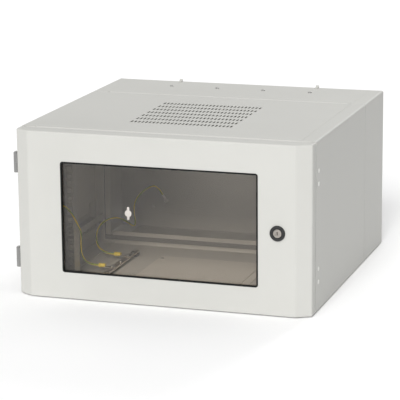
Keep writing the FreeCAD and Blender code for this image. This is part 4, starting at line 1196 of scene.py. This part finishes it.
# ---- softened parts
@dataclass
class SoftenedPart:
    """A CAD node with its folds rounded and its cut edges broken."""

    node: str
    fold_radius: float = 0.0
    fold_steps: int = 4
    least_width: float = 0.004
    edge_break: float = 0.0003
    finish: Finish | None = None

    def is_fold(self, edge: bmesh.types.BMEdge) -> bool:
        """Finds whether a wide face turns outwards into another at the edge.

        Args:
            edge: The edge.

        Returns:
            True where the sheet is folded.
        """
        if len(edge.link_faces) != 2 or edge.calc_face_angle_signed(0.0) < FOLD_ANGLE:
            return False
        widths = [2 * face.calc_area() / face.calc_perimeter() for face in edge.link_faces]
        return min(widths) > self.least_width

    def build(self, wardrobe: Wardrobe) -> None:
        """Builds the softened part from the CAD node's mesh and dresses it.

        Args:
            wardrobe: The finishes.
        """
        piece = copy_of(frame["nodes"][self.node])
        piece.name = piece.data.name = self.node + "_softened"
        with editing(piece):
            bpy.ops.mesh.select_all(action="SELECT")
            bpy.ops.mesh.remove_doubles(threshold=MERGE_DISTANCE)
            bpy.ops.mesh.dissolve_limited(angle_limit=FLAT_ANGLE)
            if self.fold_radius:
                pick(piece, "EDGE", self.is_fold)
                radius, steps = self.fold_radius, self.fold_steps
                bpy.ops.mesh.bevel(offset=radius, segments=steps, affect="EDGES")
            bpy.ops.mesh.select_all(action="SELECT")
            bpy.ops.mesh.normals_make_consistent(inside=False)
        apply(
            piece,
            "BEVEL",
            width=self.edge_break,
            segments=1,
            limit_method="ANGLE",
            angle_limit=BREAK_ANGLE,
            use_clamp_overlap=True,
        )
        smooth(piece)
        apply(piece, "WEIGHTED_NORMAL", keep_sharp=True, weight=100)
        wardrobe.stand_in(piece, self.node, self.finish)


BODY_SHEETS = [
    f"{section}_{sheet}"
    for section in ("rear", "front")
    for sheet in ("side_left", "side_right", "top_panel", "bottom_panel")
]
HINGE_LEAVES = [
    node
    for leaf in ("door_hinge_door_leaf", "door_hinge_body_leaf")
    for node in SLOT_OF
    if node.startswith(leaf)
]
SPECIAL_PARTS = (
    *(SoftenedPart(node, fold_radius=0.0028) for node in BODY_SHEETS),
    SoftenedPart("door_panel", fold_radius=0.003),
    SoftenedPart("rail_left", fold_radius=0.002),
    SoftenedPart("rail_right", fold_radius=0.002),
    SoftenedPart("floor_cover_plate", finish=COVER_PAINT_AND_LIGHT),
    SoftenedPart("window_seal", edge_break=0.0006),
    *(SoftenedPart(node, finish=HINGE_PAINT_AND_SHADE) for node in HINGE_LEAVES),
)


# ---- fasteners
@dataclass
class PanScrews:
    """A group of pan-head screws with cross recesses, where a CAD node has plain ones."""

    node: str
    outward: Point
    head_radius: float = 0.004
    head_height: float = 0.0022
    shank_radius: float = 0.002
    recess: float = 0.0046
    arm_share: float = 0.24
    recess_taper: float = 0.55
    corners: int = 20
    turns: Range = (25.0, 67.0)

    def screw(self, length: float) -> Piece:
        """Builds one screw that stands on the origin with its shank down.

        Args:
            length: How far the shank reaches below the head.

        Returns:
            The screw.
        """
        radius, height, shank = self.head_radius, self.head_height, self.shank_radius
        steps = [
            (shank * 0.8, -length),
            (shank, -length + shank * 0.3),
            (shank, 0),
            (radius, 0),
            (radius, height * 0.35),
            (radius * 0.93, height * 0.7),
            (radius * 0.72, height * 0.92),
            (radius * 0.4, height),
        ]
        piece = solid_of_rings("pan_screw", steps, self.corners)
        reach, width = self.recess, self.recess * self.arm_share
        middle, floor = (0, 0, height * 0.95), (0, 0, height * 0.45)
        arms = [block((*size, height), middle) for size in ((reach, width), (width, reach))]
        cutter = join("recess", arms)
        with editing(cutter):
            pick(cutter, "FACE", lambda face: face.normal.z < -0.5)
            taper = self.recess_taper
            bpy.ops.transform.resize(value=(taper, taper, 1), center_override=floor)
        carve(piece, cutter)
        smooth(piece)
        return piece

    def build(self, wardrobe: Wardrobe) -> None:
        """Builds the group on the CAD node's own places and dresses it.

        Args:
            wardrobe: The finishes.
        """
        out = Vector(self.outward)
        axis = max(range(3), key=lambda n: abs(out[n]))
        sign = 1 if out[axis] > 0 else -1
        boxes = islands(self.node)
        low, high = boxes[0]
        screw = self.screw((high - low)[axis] - self.head_height)
        seats = []
        for low, high in boxes:
            seats.append((low + high) / 2)
            seats[-1][axis] = (high if sign > 0 else low)[axis] - sign * self.head_height
        piece = repeat(self.node + "_recessed", screw, seats, self.outward, self.turns)
        wardrobe.stand_in(piece, self.node)


@dataclass
class SpareHolePlugs:
    """Domed plugs in the spare hinge holes of the right wall."""

    node: str = "spare_hole_plugs"
    rim: float = 0.0045
    dome: float = 0.0012
    corners: int = 24

    def build(self, wardrobe: Wardrobe) -> None:
        """Builds the plugs on the CAD node's own places and dresses them.

        Args:
            wardrobe: The finishes.
        """
        boxes = islands(self.node)
        low, high = boxes[0]
        rim, dome = self.rim, self.dome
        steps = [
            (rim * 0.4, dome - (high.x - low.x)),
            (rim * 0.44, 0),
            (rim, 0),
            (rim, dome * 0.3),
            (rim * 0.92, dome * 0.65),
            (rim * 0.7, dome * 0.9),
            (rim * 0.35, dome),
        ]
        plug = solid_of_rings("plug", steps, self.corners)
        smooth(plug)
        seats = [(high.x - dome, *((low + high) / 2).yz) for low, high in boxes]
        piece = repeat("spare_hole_plugs_domed", plug, seats, up=(1, 0, 0))
        wardrobe.stand_in(piece, self.node)


# ---- lock
@dataclass
class CamLock:
    """The door's lock: a black ring and a metal cylinder with a key slot."""

    housing_node: str = "lock_housing"
    cylinder_node: str = "lock_cylinder"
    outward: Point = (0, -1, 0)
    ring_bevel: float = 0.0016
    ring_corners: int = 48
    throat: float = 0.0088
    barrel_radius: float = 0.011
    face_bevel: float = 0.0007
    face_corners: int = 40
    face_degrees: float = 35.0
    slot_size: Point = (0.002, 0.0082, 0.007)
    slot_rim: float = 0.0036
    tail_side: float = 0.008

    def ring(self, wardrobe: Wardrobe) -> None:
        """Builds the ring with its barrel behind the door sheet.

        Args:
            wardrobe: The finishes.
        """
        low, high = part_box(self.housing_node)
        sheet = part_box("door_panel")[0].y
        radius, middle = (high.x - low.x) / 2, (low + high) / 2
        stand, barrel = sheet - low.y, high.y - sheet
        bevel, inner = self.ring_bevel, self.throat
        steps = [
            (inner, stand - bevel * 0.8),
            (inner + bevel * 0.5, stand - bevel * 0.15),
            (inner + bevel, stand),
            (radius - bevel, stand),
            (radius - bevel * 0.35, stand - bevel * 0.3),
            (radius, stand - bevel),
            (radius, 0.0),
            (self.barrel_radius, 0.0),
            (self.barrel_radius, -barrel),
            (inner, -barrel),
            (inner, stand - bevel * 0.8),
        ]
        piece = solid_of_rings("lock_ring", steps, self.ring_corners)
        smooth(piece)
        set_down(piece, (middle.x, sheet, middle.z), self.outward)
        wardrobe.stand_in(piece, self.housing_node)

    def cylinder(self, wardrobe: Wardrobe) -> None:
        """Builds the cylinder with its bevelled face, key slot and square tail.

        Args:
            wardrobe: The finishes.
        """
        low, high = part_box(self.cylinder_node)
        cam_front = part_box("lock_cam")[0].y
        radius, middle = (high.x - low.x) / 2, (low + high) / 2
        bevel, rim = self.face_bevel, self.slot_rim
        steps = [
            (radius, low.y - cam_front),
            (radius, -bevel),
            (radius - bevel * 0.4, -bevel * 0.25),
            (radius - bevel, 0.0),
            (rim + bevel, 0.0),
            (rim + bevel * 0.6, -bevel * 0.5),
            (rim, -bevel * 0.5),
        ]
        face = solid_of_rings("lock_cylinder_face", steps, self.face_corners)
        width, height, depth = self.slot_size
        carve(face, block((width, height * 0.8, depth), (0, 0, -depth * 0.35)))
        smooth(face, self.face_degrees)
        set_down(face, (middle.x, low.y, middle.z), self.outward)
        size = (self.tail_side, high.y - cam_front, self.tail_side)
        tail = block(size, (middle.x, (high.y + cam_front) / 2, middle.z))
        piece = join("lock_cylinder_face", [face, tail])
        wardrobe.stand_in(piece, self.cylinder_node, CYLINDER_NICKEL)

    def build(self, wardrobe: Wardrobe) -> None:
        """Builds the ring and the cylinder."""
        self.ring(wardrobe)
        self.cylinder(wardrobe)


# ---- earth lugs
@dataclass
class LugSleeves:
    """Yellow sleeves over the barrels of the lugs on the earth bar."""

    node: str = "earth_bar_lugs"
    lug_reach: float = 0.02
    barrel_height: float = -0.153
    bore: float = 0.00315
    radius: float = 0.0042
    length: float = 0.014
    lip: float = 0.0008
    corners: int = 24

    def build(self, wardrobe: Wardrobe) -> None:
        """Builds a sleeve over each barrel and dresses them.

        Args:
            wardrobe: The finishes.
        """
        radius, length = self.radius, self.length
        steps = [
            (self.bore, 0.0),
            (radius * 0.95, 0.0),
            (radius, self.lip),
            (radius, length * 0.6),
            (radius * 1.08, length * 0.75),
            (radius * 1.05, length),
            (self.bore, length),
            (self.bore, 0.0),
        ]
        sleeve = solid_of_rings("sleeve", steps, self.corners)
        smooth(sleeve)
        seats = [
            (low.x + length, (low.y + high.y) / 2, self.barrel_height)
            for low, high in islands(self.node, self.lug_reach)
        ]
        piece = repeat("lug_sleeves", sleeve, seats, up=(-1, 0, 0))
        wardrobe.dress(piece, Slot.LEAD_JACKET, SLEEVE_YELLOW)
        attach(piece, Body.FRONT_SECTION.value)


SCREW_GROUPS = (
    PanScrews("back_cover_screws", (0, -1, 0)),
    PanScrews("top_rail_screws", (0, 0, 1)),
    PanScrews("floor_plate_screws", (0, 0, 1)),
    PanScrews("earth_bar_screws", (0, 0, 1)),
    PanScrews("door_hinge_screws", (-1, 0, 0)),
)
MODELLED_NEW = (DOOR_LEAD, REAR_LEAD, SpareHolePlugs(), *SCREW_GROUPS)
KEPT_AS_CAD = "door_glass"


def plain_parts() -> list[SoftenedPart]:
    """Lists the parts that only have their edges broken.

    Returns:
        A part for every CAD node that isn't special, modelled new or kept as it is.
    """
    taken = {part.node for part in (*SPECIAL_PARTS, *MODELLED_NEW)}
    taken |= {CamLock.housing_node, CamLock.cylinder_node, KEPT_AS_CAD}
    return [SoftenedPart(node) for node in SLOT_OF if node not in taken]


def main() -> None:
    """Builds the cabinet's looks and reports each piece."""
    logging.basicConfig(level=logging.INFO, format="%(name)s: %(message)s")
    CameraRig().build()
    wardrobe = Wardrobe()
    DOOR_LEAD.build(wardrobe)
    REAR_LEAD.build(wardrobe)
    Studio().build()
    wardrobe.dress_nodes()
    for part in (*SPECIAL_PARTS, *plain_parts(), *SCREW_GROUPS):
        part.build(wardrobe)
    SpareHolePlugs().build(wardrobe)
    CamLock().build(wardrobe)
    LugSleeves().build(wardrobe)


if __name__ == "__main__":
    main()
